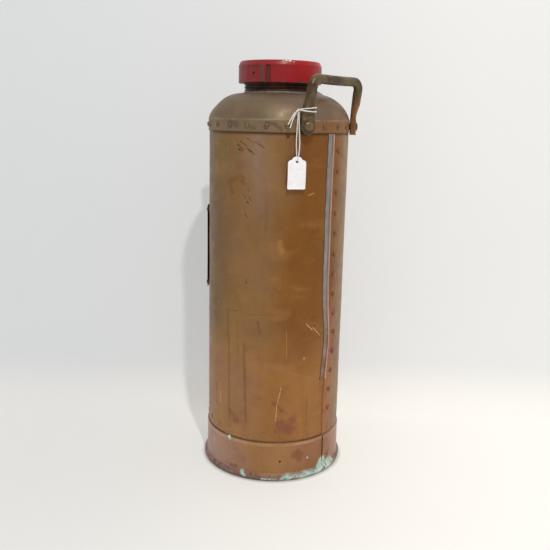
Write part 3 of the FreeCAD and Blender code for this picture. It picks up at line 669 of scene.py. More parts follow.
def dome_copper():
    """The crown, greyer than the tank, with a green-brown riveted band."""
    s = Shader("copper_dome", metallic=0.5, specular=0.3)
    where = s.skin()
    around, height, _ = s.split(where)
    share = s.around_share(around)
    color = s.mix(s.span(height, 0.4605, 0.4585), s.ramp(share, DOME_TONES), s.ramp(share, BAND_TONES))
    color = weathered(s, color, 0.9)
    smudge = strokes(s, s.wobble(where, 90.0, 0.012), DOME_SMUDGES)[0]
    color = s.tint(color, smudge, 0.45, (82, 62, 56))
    green = s.mul(s.span(s.noise(52.0, 5.0, 0.6), 0.52, 0.68), s.window(around, -0.26, -0.2, -0.02, 0.02))
    color = s.tint(color, green, 0.4, (104, 108, 72))
    # Painted highlight along the ledge above the riveted band.
    ledge = s.window(height, 0.4572, 0.4582, 0.4592, 0.4604)
    color = s.tint(color, ledge, 0.45, (176, 150, 128), s.span(s.noise(60.0, 4.0), 0.4, 0.6, 0.1, 1.0))
    color = s.tint(color, s.span(height, 0.4458, 0.4442), 0.5, (78, 56, 40))
    return s.finish(color, gloss(s, 0.44, 0.6), hammered(s, coarse=0.35))


def copper_plain(name, warm, cool, metallic=0.5, rough=(0.36, 0.52)):
    """Aged copper without the tank's own marks, between two tones."""
    s = Shader(name, metallic=metallic, specular=0.3)
    mottled = s.span(s.noise(11.0, 5.0, 0.55, 0.6), 0.36, 0.66)
    color = weathered(s, s.between(mottled, warm, cool), 0.8)
    return s.finish(color, gloss(s, *rough), hammered(s))


# Marks on the cap: wear round its hole, along its rim and down its slot, and painted shade along the top of
# its pad under the overhanging top; painted glints on its rim; painted shade in its hole.
CAP_WEAR_AND_SHADE = trails(
    (0.9, (-11, 521.5), (9, 521.5)), (2.6, (-1, 516), (-1, 511)), (0.6, (26, 521.5), (46, 521)),
    (1.1, (62, 505), (74, 505)), (2.0, (19, 506), (23, 519)))
CAP_GLINTS = trails((0.6, (37, 527), (42, 528)), (0.7, (44, 528), (52, 528)), (0.4, (55, 527), (57, 527)))
CAP_HOLE_SHADE = trails((1.0, (-1, 514), (-1, 513)))


def cap_paint():
    """Old red enamel: dull and greyer at one side, partly painted light; bare on the rib by the pad, brown
    where it has worn through, with painted glints and painted shade.
    """
    s = Shader("cap_paint", ior=1.45, specular=0.3)
    s.bsdf.inputs["Coat Weight"].default_value = 0.1
    s.bsdf.inputs["Coat Roughness"].default_value = 0.25
    where = s.skin()
    around, height, _ = s.split(where)
    share = s.around_share(around, 0.008)
    color = s.ramp(share, CAP_TONES)
    mottled = s.noise(60.0, 5.0, 0.6, 0.3)
    color = s.mix(s.span(mottled, 0.45, 0.72, 0.0, 0.5), color, linear((120, 26, 30)))
    ragged = s.noise(210.0, 6.0, 0.7)
    brown, glint, hole_shade = strokes(s, s.wobble(where, 300.0, 0.002), CAP_WEAR_AND_SHADE, CAP_GLINTS, CAP_HOLE_SHADE)
    rib = s.mul(s.window(around, -0.0435, -0.0425, -0.0350, -0.0340),
                s.span(height, 0.5235, 0.5225), s.span(ragged, 0.3, 0.45, 0.35, 1.0))
    # Painted shade: darker red down the recessed slot.
    groove = s.mul(s.window(around, -0.0304, -0.0294, -0.0207, -0.0197), s.span(height, 0.5236, 0.5228))
    color = s.tint(color, groove, 0.8, (102, 36, 32))
    # Brown wear, and along the top of the pad painted shade under the overhanging top.
    ragged_wear_and_shade = s.mul(brown, s.span(ragged, 0.36, 0.56, 0.25, 1.0))
    color = s.tint(color, ragged_wear_and_shade, 0.95, (84, 56, 42))
    corner = s.node("ShaderNodeNewGeometry").outputs["Pointiness"]
    worn = s.span(s.add(corner, s.mul(ragged, 0.09)), 0.585, 0.61)
    low_edge = s.mul(s.span(height, 0.5046, 0.5034), s.span(ragged, 0.44, 0.6))
    worn = s.math("MAXIMUM", worn, low_edge)
    color = s.tint(color, worn, 0.75, (112, 74, 60))
    color = s.tint(color, rib, 0.9, (100, 80, 72))
    # Painted highlights: near-white glints along the rim.
    color = s.mix(s.mul(glint, s.span(ragged, 0.46, 0.52)), color, linear((236, 220, 214)))
    # Painted shade: near-black in the vent hole.
    color = s.tint(color, hole_shade, 0.9, (24, 18, 16))
    # Dirt and painted shade darken the cap's hollow corners, found from the surface's inward curve.
    grime_and_shade = s.span(corner, 0.47, 0.42)
    color = s.tint(color, grime_and_shade, 0.7, (60, 26, 22))
    normal = s.bump(s.noise(90.0, 4.0), 0.0006, 0.22)
    normal = s.bump(s.mul(worn, -1.0), 0.0002, 0.6, normal)
    return s.finish(color, s.span(mottled, 0.3, 0.7, 0.32, 0.48), normal, s.mul(rib, 0.5))


def forged(name, light, dark, red=0.0):
    """Forged bronze with a dark skin, rubbed brighter where hands hold it."""
    s = Shader(name, metallic=0.6)
    color = s.between(s.span(s.noise(50.0, 5.0, 0.6, 0.4), 0.36, 0.64), dark, light)
    olive = s.span(s.noise(22.0, 4.0, 0.6), 0.46, 0.66)
    color = s.tint(color, olive, 0.5, (104, 92, 56))
    corner = s.node("ShaderNodeNewGeometry").outputs["Pointiness"]
    rubbed = s.span(corner, 0.53, 0.6)
    color = s.tint(color, rubbed, 0.45, (176, 150, 112))
    pits = s.span(s.cells(240.0), 0.25, 0.1)
    pitted = s.mul(pits, s.span(s.noise(70.0), 0.5, 0.65))
    color = s.tint(color, pitted, 0.55, (46, 36, 26))
    if red:
        x, _, z = s.split(s.coords)
        far_leg = s.mul(s.span(x, -0.030, -0.046), s.span(z, 0.497, 0.468))
        color = s.tint(color, far_leg, 0.8, (142, 92, 54))
        flecks = s.span(s.noise(260.0, 4.0, 0.7, 0.3), 0.62, 0.66)
        near_cap = s.mul(s.span(x, 0.036, 0.046), s.span(z, 0.488, 0.5))
        color = s.tint(color, s.mul(flecks, near_cap), red, (150, 36, 36))
    normal = s.bump(s.noise(140.0, 4.0, 0.6), 0.0007, 0.4)
    normal = s.bump(s.mul(pitted, -1.0), 0.0003, 0.6, normal)
    return s.finish(color, s.span(s.noise(80.0), 0.3, 0.7, 0.34, 0.52), normal)


def plain_metal(name, light, dark, metallic=0.8, rough=(0.3, 0.5), scale=60.0):
    """Plain aged metal: two tones, fine grain and uneven gloss."""
    s = Shader(name, metallic=metallic)
    color = s.between(s.span(s.noise(scale, 5.0, 0.6), 0.36, 0.66), dark, light)
    grain = s.noise(1.0, 3.0, 0.6, 0.0, s.stretch(s.coords, (900.0, 900.0, 60.0)))
    normal = s.bump(grain, 0.0002, 0.25)
    return s.finish(color, s.span(s.noise(scale * 1.4), 0.3, 0.7, *rough), normal)


def solder():
    """Grey solder wiped along the seam, thin enough to show copper through."""
    s = Shader("solder", metallic=0.55)
    where = s.skin()
    _, height, _ = s.split(where)
    lumps = s.noise(1.0, 4.0, 0.6, 0.3, s.stretch(s.coords, (160.0, 160.0, 45.0)))
    color = s.between(s.span(lumps, 0.36, 0.64), (134, 127, 122), (154, 146, 142))
    fade = s.mul(s.span(height, 0.3, 0.14), s.span(s.noise(80.0, 5.0), 0.35, 0.6, 0.3, 1.0))
    color = s.mix(fade, color, linear((132, 94, 56)))
    return s.finish(color, s.span(lumps, 0.3, 0.7, 0.36, 0.5), s.bump(lumps, 0.0006, 0.4))


def paper():
    s = Shader("tag_paper")
    fibres = s.noise(900.0, 4.0, 0.7)
    color = s.between(s.span(s.noise(120.0, 4.0), 0.35, 0.65), (246, 243, 246), (238, 234, 236))
    soiled = s.mul(s.span(s.noise(80.0, 5.0, 0.6), 0.6, 0.75), 0.2)
    color = s.mix(soiled, color, linear((228, 222, 214)))
    # The paper glows a little: painted light that keeps the card bright.
    s.put(s.bsdf.inputs["Emission Color"], color)
    s.bsdf.inputs["Emission Strength"].default_value = 0.07
    return s.finish(color, s.span(fibres, 0.3, 0.7, 0.65, 0.85), s.bump(fibres, 0.0001, 0.3))


def cotton():
    s = Shader("cotton_string", roughness=0.85)
    s.bsdf.inputs["Sheen Weight"].default_value = 0.3
    twist = s.node("ShaderNodeTexWave", {"Vector": s.coords, "Scale": 260.0, "Distortion": 2.0},
                   bands_direction="DIAGONAL").outputs["Fac"]
    color = s.between(twist, (206, 200, 194), (248, 245, 240))
    return s.finish(color, None, s.bump(twist, 0.0003, 0.6))


def bottle_glass():
    s = Shader("bottle_glass")
    s.bsdf.inputs["Transmission Weight"].default_value = 0.92
    color = s.between(s.span(s.noise(30.0), 0.3, 0.7), (176, 206, 190), (196, 218, 204))
    return s.finish(color, s.span(s.noise(120.0), 0.3, 0.7, 0.04, 0.12), s.bump(s.noise(40.0), 0.0006, 0.2))


def leather():
    s = Shader("washer_leather")
    grain = s.cells(500.0)
    color = s.between(s.span(s.noise(90.0, 5.0), 0.35, 0.65), (70, 42, 26), (96, 62, 38))
    return s.finish(color, s.span(grain, 0.1, 0.6, 0.5, 0.75), s.bump(grain, 0.0003, 0.5))


COPPER = copper_wall()
DOME_COPPER = dome_copper()
FOOT_COPPER = foot_copper()
RIVET_COPPER = copper_plain("copper_rivet", (128, 84, 48), (136, 98, 66), 0.4, (0.22, 0.32))
BAND_COPPER = copper_plain("copper_band_rivet", (112, 88, 60), (122, 98, 72), 0.4, (0.22, 0.32))
INNER_COPPER = copper_plain("copper_inner", (120, 92, 60), (104, 92, 70), 0.5, (0.5, 0.7))
# The lap's raised edge in pale copper: a painted highlight where the sheet's edge catches light.
LAP_EDGE_HIGHLIGHT = copper_plain("copper_lap_edge_highlight", (190, 150, 136), (176, 134, 112), 0.5, (0.3, 0.4))
GRIME = copper_plain("copper_grime", (74, 58, 46), (92, 72, 56), 0.3, (0.5, 0.7))
HANDLE_BRONZE = forged("handle_bronze", (110, 90, 62), (68, 54, 38), red=0.9)
HANDLE_RIVET = forged("handle_rivet_bronze", (140, 112, 84), (92, 66, 48))
NECK_BRASS = plain_metal("neck_brass", (96, 60, 46), (58, 36, 30), 0.5, (0.45, 0.6))
JET_BRASS = plain_metal("jet_brass", (158, 128, 70), (112, 88, 48), 0.85, (0.28, 0.45))
PLATE_BRASS = plain_metal("plate_brass", (106, 90, 60), (80, 70, 50), 0.7, (0.34, 0.5), 28.0)
IRON = plain_metal("iron", (66, 56, 50), (40, 34, 30), 0.6, (0.5, 0.7))
TIN = plain_metal("tinned_strip", (168, 164, 156), (132, 128, 120), 0.85, (0.3, 0.5))
LEAD = plain_metal("lead", (112, 114, 118), (84, 86, 90), 0.7, (0.5, 0.7))
SOLDER = solder()
CAP_RED = cap_paint()
PAPER = paper()
COTTON = cotton()


# ---- cords of the tag: the routes of the CAD tubes ---------------------------------------------
def near_knot(along, out, z):
    """Place by the tag: along its width, out from its plane, and height."""
    return point(KNOT_R + out, KNOT_AZ, z) + tangent(KNOT_AZ) * along * MM


def round_leg(along, out, z):
    """Place by the handle's leg: along its width, out from its middle, and height."""
    azimuth = 90 - HANDLE_HALF
    return point(HANDLE_SEAT + 4.9 + out, azimuth, z) + tangent(azimuth) * along * MM


def string_curve(name, points, thick, corners):
    """Length of string through its points, not yet closed or ended."""
    curve = bpy.data.curves.new(name, "CURVE")
    curve.dimensions = "3D"
    spline = curve.splines.new("NURBS")
    spline.points.add(len(points) - 1)
    for target, place in zip(spline.points, points):
        target.co = (*place, 1.0)
    spline.order_u = 3
    curve.bevel_depth = thick / 2 * MM
    curve.bevel_resolution = corners
    curve.materials.append(COTTON)
    return linked(name, curve), spline


def cord_curve(name, points, body):
    obj, spline = string_curve(name, points, STRING_D, 5)
    spline.use_endpoint_u = True
    spline.resolution_u = 8
    obj.data.use_fill_caps = True
    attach(obj, body)
    return obj


def tag_cords():
    top = KNOT_Z - 1.8
    turn_z, low_z = CARD_TOP - 1.6, CARD_TOP - 5.0
    loop = cord_curve("tag_loop", [
        near_knot(0.1, 0.75, top), near_knot(1.0, 0.95, top - 19.0), near_knot(2.4, 1.3, top - 37.0),
        near_knot(1.0, 1.55, turn_z), near_knot(0, 1.5, low_z), near_knot(0, -1.5, low_z),
        near_knot(-0.2, -1.55, turn_z), near_knot(-1.5, -1.3, top - 37.0),
        near_knot(-1.0, -0.95, top - 19.0), near_knot(-0.1, -0.75, top)], "tag")
    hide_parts("tag_string")
    tuple(near_knot(0, 0.75, top))

    tie = near_knot(0, 0.5, KNOT_Z)
    route = [                    # side that it is measured from, along, out, and rise from the knot
        (near_knot, -12.6, 2.6, -16.4), (near_knot, -7.7, 2.7, -5.9), (near_knot, -1.0, 1.6, 0.4),
        (near_knot, 4.4, 2.9, 1.4), (round_leg, -2.0, 6.1, 2.2), (round_leg, 5.0, 6.2, 3.0),
        (round_leg, 9.6, 3.0, 3.2), (round_leg, 9.8, -2.6, 2.6), (round_leg, 4.5, -6.0, 2.2),
        (round_leg, -4.5, -6.0, 1.6), (round_leg, -9.8, -3.2, 0.8), (round_leg, -9.9, 2.6, -0.4),
        (round_leg, -4.0, 6.1, -1.0), (round_leg, 4.2, 6.1, -1.6), (round_leg, 9.6, 3.2, -1.6),
        (round_leg, 9.8, -3.0, -1.2), (round_leg, 3.5, -6.0, -0.8), (round_leg, -5.5, -6.0, -0.6),
        (round_leg, -10.8, -2.6, -0.4), (near_knot, -1.8, 0.2, -1.2), (near_knot, -6.6, 3.2, -7.3),
        (near_knot, -10.4, 3.2, -20.4)]
    places = [side(along, out, KNOT_Z + rise) for side, along, out, rise in route]
    turns = cord_curve("tag_turns", places, "tank")
    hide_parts("tag_wrap", "tag_tails")


tag_cords()


# ---- tank, foot and crown ----------------------------------------------------------------------
def drift(z):
    """How far the seam strays round the tank at a height, in degrees."""
    bulge = 3.2 * math.exp(-((z - 186.0) / 34.0) ** 2)
    dip = 1.3 * math.exp(-((z - 98.0) / 26.0) ** 2)
    lean = 0.5 * math.sin(z / 90.0 + 0.6)
    return bulge - dip + lean * smooth(60, 110, z) * smooth(430, 390, z)


def seam_pull(az):
    """Share of the seam's drift that the skin's columns follow."""
    return smooth(62, 78, az) * smooth(126, 108, az)


def over_lap(az, start):
    """How far the upper sheet stands proud at an azimuth: sharp at its edge, easing off behind."""
    return smooth(start - 0.12, start + 0.22, az) * smooth(140, 103, az)


def rivet_places():
    """Every small rivet's (azimuth, height), by row."""
    seam = [(SEAM_AZ + drift(SEAM_FIRST_Z + k * SEAM_PITCH), SEAM_FIRST_Z + k * SEAM_PITCH)
            for k in range(1, 15)]
    ring = [(SEAM_AZ + k * RIVET_PITCH, SEAM_FIRST_Z) for k in range(23)]
    band = []
    for k in range(23):
        az = BAND_FIRST + k * RIVET_PITCH
        if min(abs(wrap(az - 90 - s * HANDLE_HALF)) for s in (-1, 1)) > 8.0:
            band.append((az, BAND_Z))
    return seam, ring, band


def dent(az, z, places, r, depth, spread):
    """Shallow dishing round each nearby rivet."""
    total = 0.0
    for other, height in places:
        if abs(z - height) > 3 * spread:
            continue
        across = math.radians(wrap(az - other)) * r
        if abs(across) < 3 * spread:
            total += depth * math.exp(-(across * across + (z - height) ** 2) / (spread * spread))
    return total


def beaten(az, z, amount):
    """Gentle unevenness of hand-worked sheet, in mm."""
    d = radial(az) * SHELL_R
    return amount * (rough(d.x, d.y, z, 0.021) + 0.45 * rough(d.x + 300, d.y, z, 0.055))


def clear_of_ends(z):
    """1 along the tank's wall, 0 where it meets the foot and the crown."""
    return smooth(52, 62, z) * smooth(446, 436, z)


SEAM_PLACES, RING_PLACES, BAND_PLACES = rivet_places()


def tank_skin():
    dense = [(62, 78.2, 1.0), (78.4, 84.1, 0.4), (84.2, 85.6, 0.1), (85.8, 104, 0.45)]
    azimuths = azimuth_columns(1.8, dense)
    heights = [30.0] + steps(52.9, 66, 10) + steps(69, 440, 130) + steps(441.4, 457.5, 7)
    outline = [(SHELL_R, z) for z in heights] + [(SHELL_R - 1.5, z) for z in (457.5, 300.0, 150.0, 30.0)]
    near = SEAM_PLACES + RING_PLACES

    def shape(k, r, z, az):
        turned_az = az + drift(z) * seam_pull(az)
        if r < SHELL_R - 0.5:
            return r, z, turned_az
        fade = clear_of_ends(z)
        lift = LAP * over_lap(az, LAP_EDGE) * (52.8 < z < 443.9)
        r += lift + beaten(turned_az, z, 0.28) * fade
        r += 0.05 * rough(turned_az, z, 0, 0.4) * fade
        r -= dent(turned_az, z, near, r, 0.16, 7.5)
        return r, z, turned_az

    skin = lathe("tank_skin", outline, azimuths, COPPER, shape, 30)
    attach(skin, "tank")
    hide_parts("body_shell")


def foot():
    r0, r1 = FOOT_R - FOOT_WALL, FOOT_R
    flare_x = r1 + FLARE_R
    rise = math.sqrt((FLARE_R + BEAD_R) ** 2 - (flare_x - BEAD_CENTRE_R) ** 2)
    touch = math.degrees(math.atan2(rise, flare_x - BEAD_CENTRE_R))
    bead = (BEAD_CENTRE_R, BEAD_Z)
    outline = [(r0, z) for z in (9.0, 20.0, 40.0, FOOT_TOP)]
    outline += arc_points((r1 - 1.1, FOOT_TOP - 1.1), 1.1, 90, 0, 5)
    outline += [(r1, z) for z in (51.3, 50.9, 49.6, 48.8, 44.0, 38.0, 32.0, 26.0, 21.0)]
    outline += arc_points((flare_x, BEAD_Z + rise), FLARE_R, 180, 180 + touch, 8)
    outline += arc_points(bead, BEAD_R, touch, BEAD_CURL, 34)[1:]
    outline += arc_points(bead, BEAD_BORE, BEAD_CURL, 97, 22)
    azimuths = azimuth_columns(1.6, [(80, 84.4, 0.5), (84.5, 85.9, 0.1), (86.1, 87.9, 0.3),
                                     (88.0, 89.9, 0.1), (90.2, 103, 0.5)])

    def shape(k, r, z, az):
        from_bead = math.hypot(r - BEAD_CENTRE_R, z - BEAD_Z)
        if r > r0 + 0.3 and 13.0 < z < FOOT_TOP + 0.1:
            lap = over_lap(az, 85.0) * smooth(12.5, 15.5, z) * smooth(51.4, 51.0, z)
            wave = beaten(az, z * 3, 0.22)
            r += LAP * lap + wave * smooth(50, 44, z)
            z += 0.18 * rough(az, z, 3, 0.35) * (z > 48)
        elif 4.0 < from_bead < 5.0 and (z < 9.0 or r < r0):
            swell = 1 + 0.02 * rough(az * 0.6, z, 7, 0.5)
            if 88.15 < az < 89.65 and r > BEAD_CENTRE_R + 0.4:
                swell = 3.6 / BEAD_R
            r = BEAD_CENTRE_R + (r - BEAD_CENTRE_R) * swell
            z = max(0.0, BEAD_Z + (z - BEAD_Z) * swell)
        return r, z, az

    ring = lathe("foot_skirt", outline, azimuths, FOOT_COPPER, shape, 32)
    bore(ring, 1.4, 44.4, 26.3, 80, 110)
    finish_mesh(ring, FOOT_COPPER, 32)
    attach(ring, "tank")
    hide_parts("foot_ring")


def crown():
    hole, inner_r, inner_arc_r = NECK_R + 0.15, DOME_R - DOME_WALL, DOME_ARC_R - DOME_WALL

    def turn_at(arc_r, r):
        """Where on an arc of the crown a radius lies, in degrees."""
        across = r - DOME_ARC[0]
        return math.degrees(math.atan2(math.sqrt(arc_r ** 2 - across ** 2), across))

    outline = [(DOME_R - 0.3, DOME_EDGE), (DOME_R, DOME_EDGE + 0.3)]
    outline += [(DOME_R, z) for z in steps(445.0, 457.0, 13)] + [(DOME_R, 458.0), (DOME_R - 0.06, 458.5)]
    outline += arc_points(DOME_ARC, DOME_ARC_R, turn_at(DOME_ARC_R, DOME_R), turn_at(DOME_ARC_R, hole), 34)
    inside = arc_points(DOME_ARC, inner_arc_r, turn_at(inner_arc_r, hole), turn_at(inner_arc_r, inner_r), 12)
    inside.append((inner_r, DOME_EDGE))
    outline += inside
    azimuths = azimuth_columns(1.5)
    handle_feet = [(90 + s * HANDLE_HALF, HANDLE_RIVET_Z) for s in (-1, 1)]

    def shape(k, r, z, az):
        if k < len(outline) - len(inside):
            ledge = 0.35 * math.exp(-((z - 459.6) / 1.3) ** 2)
            fade = smooth(40, 60, r)
            r -= dent(az, z, BAND_PLACES, r, 0.14, 6.0) + dent(az, z, handle_feet, r, 0.1, 10)
            r += 0.22 * rough(az * 0.12, z * 0.05, 2, 1.0) * fade + ledge * (0.6 + 0.4 * rough(az, 0, 5, 0.1))
            if k < 2:
                z += 0.3 * rough(az, 1, 9, 0.22)
            knock = 1.8 * math.exp(-(wrap(az + 53) / 19.0) ** 2 - ((z - 478.0) / 8.0) ** 2)
            r -= 0.75 * knock
            z -= 0.6 * knock
            if z > 459:
                z += 0.35 * rough(az * 0.1, r * 0.06, 4, 1.0) * fade * smooth(459, 466, z)
        return r, z, az

    dome = lathe("crown", outline, azimuths, DOME_COPPER, shape, 32)
    bore(dome, 8.0, -90, 467.0, 70, 110)
    finish_mesh(dome, DOME_COPPER, 32)
    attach(dome, "tank")
    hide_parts("dome_band", "dome_shoulder", "dome_top")


def seam_fill():
    """Solder wiped along the lap, with ragged edges."""
    rows = steps(130.5, 443.4, 170)
    verts = []
    edge = [(84.7, 0.85), (84.92, 1.32), (85.4, 1.36), (85.9, 1.33), (86.3, 1.1)]
    for z in rows:
        left = 79.0 + 0.5 * rough(z, 0, 0, 0.12) + 0.25 * rough(z, 5, 0, 0.6)
        outer = []
        for t in steps(0, 1, 9):
            swell = math.sin(math.pi * (0.12 + t * 0.8)) * smooth(0, 0.15, t)
            outer.append((left + (84.5 - left) * t, 0.06 + 0.5 * swell))
        outer += [(az + 0.25 * rough(z, az, 8, 0.2) * (az > 85.2), rise) for az, rise in edge]
        for side in (1, 0):
            for az, rise in (outer if side else reversed(outer)):
                az += drift(z) * seam_pull(83)
                r = SHELL_R + 0.08 + (rise + 0.1 * rough(z, az, 3, 0.3) if side else -0.4)
                verts.append(point(r + beaten(az, z, 0.28) * clear_of_ends(z), az, z))
    ring = 2 * len(outer)
    strip = add_object("seam_fill", verts, tube_faces(len(rows), ring), SOLDER, 50)
    strip.data.materials.append(GRIME)
    strip.data.materials.append(LAP_EDGE_HIGHLIGHT)
    # Column 0 takes the dark edge; the lap's raised edge takes the painted highlight.
    for face in strip.data.polygons:
        column = face.index % ring
        if column == 0:
            face.material_index = 1
        elif 9 <= column < len(outer):
            face.material_index = 2
    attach(strip, "tank")
    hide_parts("seam_solder")


# ---- rivets ------------------------------------------------------------------------------------
def turned_piece(name, outline, place, axis, material, segments=28, sag=0.0, angle=38.0):
    """Solid turned about its own axis: outline of (radius, distance along the axis) ends on it."""
    verts, faces = [], []
    count = len(outline)
    turn = axis.to_track_quat("Z", "Y").to_matrix()
    for s in range(segments):
        t = 2 * math.pi * s / segments
        wobble = 1 + sag * math.sin(2 * t + place.x * 900) + sag * 0.6 * math.sin(3 * t + place.z * 700)
        for r, d in outline:
            local = Vector((r * wobble * math.cos(t), r * wobble * math.sin(t), d)) * MM
            verts.append(place + turn @ local)
    for s in range(segments):
        n = (s + 1) % segments
        for k in range(count - 1):
            faces.append((s * count + k, n * count + k, n * count + k + 1, s * count + k + 1))
    return add_object(name, verts, faces, material, angle, weld=True)


def head_outline(head_r, head_h, shank_r, depth, flat=0.0):
    """Domed head on a shank; flat widens its top."""
    points = [(0, head_h)]
    for t in steps(8, 90, 10):
        a = math.radians(t)
        bulge = math.sin(a) * (1 - flat) + flat * min(1.0, math.sin(a) * 1.6)
        points.append((head_r * min(1.0, bulge), head_h * math.cos(a) ** 0.9))
    points += [(head_r * 0.985, -0.12), (shank_r, -0.12), (shank_r, -depth), (0, -depth)]
    return points


def rivet_row(name, node, places, seat_r, head_r, head_h, shank_r, inner_r, material, vary=0.06):
    pieces = []
    for az, z in places:
        r = seat_r(az, z) if callable(seat_r) else seat_r
        size, tall = 1 + random.uniform(-vary, vary), 1 + random.uniform(-1.6, 1.2) * vary
        axis = (radial(az) + Vector((0, 0, random.uniform(-0.05, 0.05)))
                + tangent(az) * random.uniform(-0.05, 0.05)).normalized()
        place = point(r, az + random.uniform(-0.12, 0.12), z + random.uniform(-0.25, 0.25))
        outline = head_outline(head_r * size, head_h * tall, shank_r, r - inner_r, random.uniform(0.0, 0.35))
        pieces.append(turned_piece("rivet", outline, place, axis, material, 30, 0.022))
    row = join(name, pieces, material)
    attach(row, "tank")
    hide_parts(node)


def all_rivets():
    rivet_row("seam_rivet_heads", "seam_rivets", SEAM_PLACES, SHELL_R + LAP - 0.05, 3.2, 2.2, 2.2, 86.5,
              RIVET_COPPER)
    rivet_row("ring_rivet_heads", "bottom_rivets", RING_PLACES,
              lambda az, z: SHELL_R - 0.1 + (LAP if abs(wrap(az - SEAM_AZ)) < 1 else 0.0),
              4.2, 0.7, 2.2, 85.4, COPPER)
    rivet_row("foot_rivet_head", "seam_rivets", [(SEAM_AZ, 22.0)], FOOT_R + 0.95, 4.0, 1.4, 2.2, 86.5,
              RIVET_COPPER)
    rivet_row("band_rivet_heads", "band_rivets", BAND_PLACES, DOME_R - 0.15, 3.1, 2.1, 2.2, 86.5,
              BAND_COPPER)


# ---- neck and cap ------------------------------------------------------------------------------
def thread_groove(z, az, shift=0.0):
    """0 on the thread's crest to 1 in its groove."""
    turn = (z / THREAD_PITCH - az / 360.0 + shift) % 1.0
    return smooth(0.75, 0.05, 1 - abs(turn - 0.5) * 2)


def neck():
    thread = steps(THREAD_LOW, 519.4, 106)
    outline = [(38.0, 485.5), (52.0, 485.5), (52.0, 489.0), (NECK_R, 489.0)] + [(NECK_R, z) for z in thread]
    outline += [(NECK_R - 0.6, 520.0), (41.5, 520.0), (41.5, 517.0), (38.0, 517.0)]

    def shape(k, r, z, az):
        if r == NECK_R and z >= THREAD_LOW:
            r += (0.24 - 1.25 * thread_groove(z, az)) * smooth(THREAD_LOW, THREAD_LOW + 1.5, z)
        return r, z, az

    ring = lathe("neck_thread", outline, azimuth_columns(2.0), NECK_BRASS, shape, 50)
    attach(ring, "tank")
    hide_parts("neck_ring")

    low, high = 490.4, 492.6
    fillet = [(NECK_R + 0.1, low), (NECK_R + 3.2, low - 0.1), (NECK_R + 2.2, low + 0.5),
              (NECK_R + 1.2, low + 1.1), (NECK_R + 0.5, high)]

    def lumpy(k, r, z, az):
        blob = math.exp(-(wrap(az - 120.0) / 11.0) ** 2)
        if k > 0:
            r += 0.35 * rough(az, k, 0, 0.13) + 9.5 * blob * (high - z) / (high - low)
        rise = 4.2 * (z - low) / (high - low) - 1.4 * (k == 1)
        return r, z + 0.15 * rough(az, k, 4, 0.2) + rise * blob, az

    bead = lathe("neck_fillet", fillet, azimuth_columns(2.0), SOLDER, lumpy, 60)
    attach(bead, "tank")
    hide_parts("neck_solder")


def edge_mask(az, low, high, soft):
    """1 between two azimuths, with soft edges."""
    mid, half = (low + high) / 2, (high - low) / 2
    return smooth(half + soft / 2, half - soft / 2, abs(wrap(az - mid)))


def cap():
    top = CAP_TOP + 0.3
    rows = [CAP_LOW + 0.4, 503.6, 504.4, 504.8, 505.0, 505.3, 506.0, 509.0, 513.0, 517.0, 521.0, 521.6, 521.9,
            522.2, 522.6, 523.0, 523.4]
    outline = [(CAP_BORE, CAP_LOW), (CAP_R - 0.5, CAP_LOW)] + [(CAP_R, z) for z in rows]
    outline += [(CAP_R - 0.12, 524.1), (CAP_R - 0.5, 525.0), (CAP_R - 1.4, 527.0), (CAP_R - 2.2, 528.6),
                (CAP_R - 3.0, top - 0.05), (CAP_R - 4.5, top), (30, top), (12, top), (0, top), (0, 523.4),
                (30, 523.4), (44.2, 523.4)]
    outline += [(CAP_BORE, z) for z in steps(522.6, 503.6, 60)]
    edges = ((-12.9, -11.3), (9.2, 10.8), (17.3, 19.1), (23.5, 25.4))
    dense = [(wrap(base + low), wrap(base + high), 0.12) for base in (0, 180) for low, high in edges]

    def shape(k, r, z, az):
        if abs(r - CAP_R) < 0.6 and z < 525:
            for base in (0, 180):
                pad = edge_mask(az, base - 12.1, base + 10.0, 0.8)
                pad *= smooth(504.6, 505.3, z) * smooth(522.1, 521.5, z)
                slot = edge_mask(az, base + 18.2, base + 24.4, 0.9) * smooth(523.3, 522.5, z)
                r -= 0.7 * pad + 1.6 * slot
            r += 0.10 * rough(az, z, 2, 0.12)
        elif 44 < r < 46 and z < 523:
            r += -0.1 + 0.9 * thread_groove(z, az, 0.5)
        if z > 524 and r > 40:
            z += 0.12 * rough(az, r, 6, 0.1)
        return r, z, az

    body = lathe("cap_body", outline, azimuth_columns(1.5, dense), CAP_RED, shape, 34)
    bore(body, 1.25, -1.3, 513.5, 38, 60)
    finish_mesh(body, CAP_RED, 34)
    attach(body, "cap")
    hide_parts("cap")


# ---- handle ------------------------------------------------------------------------------------
def mixed(stations, t):
    """Values between two numbered stations."""
    for (t0, a), (t1, b) in zip(stations, stations[1:]):
        if t <= t1:
            u = (t - t0) / (t1 - t0)
            u = u * u * (3 - 2 * u)
            return [x + (y - x) * u for x, y in zip(a, b)]
    return list(stations[-1][1])


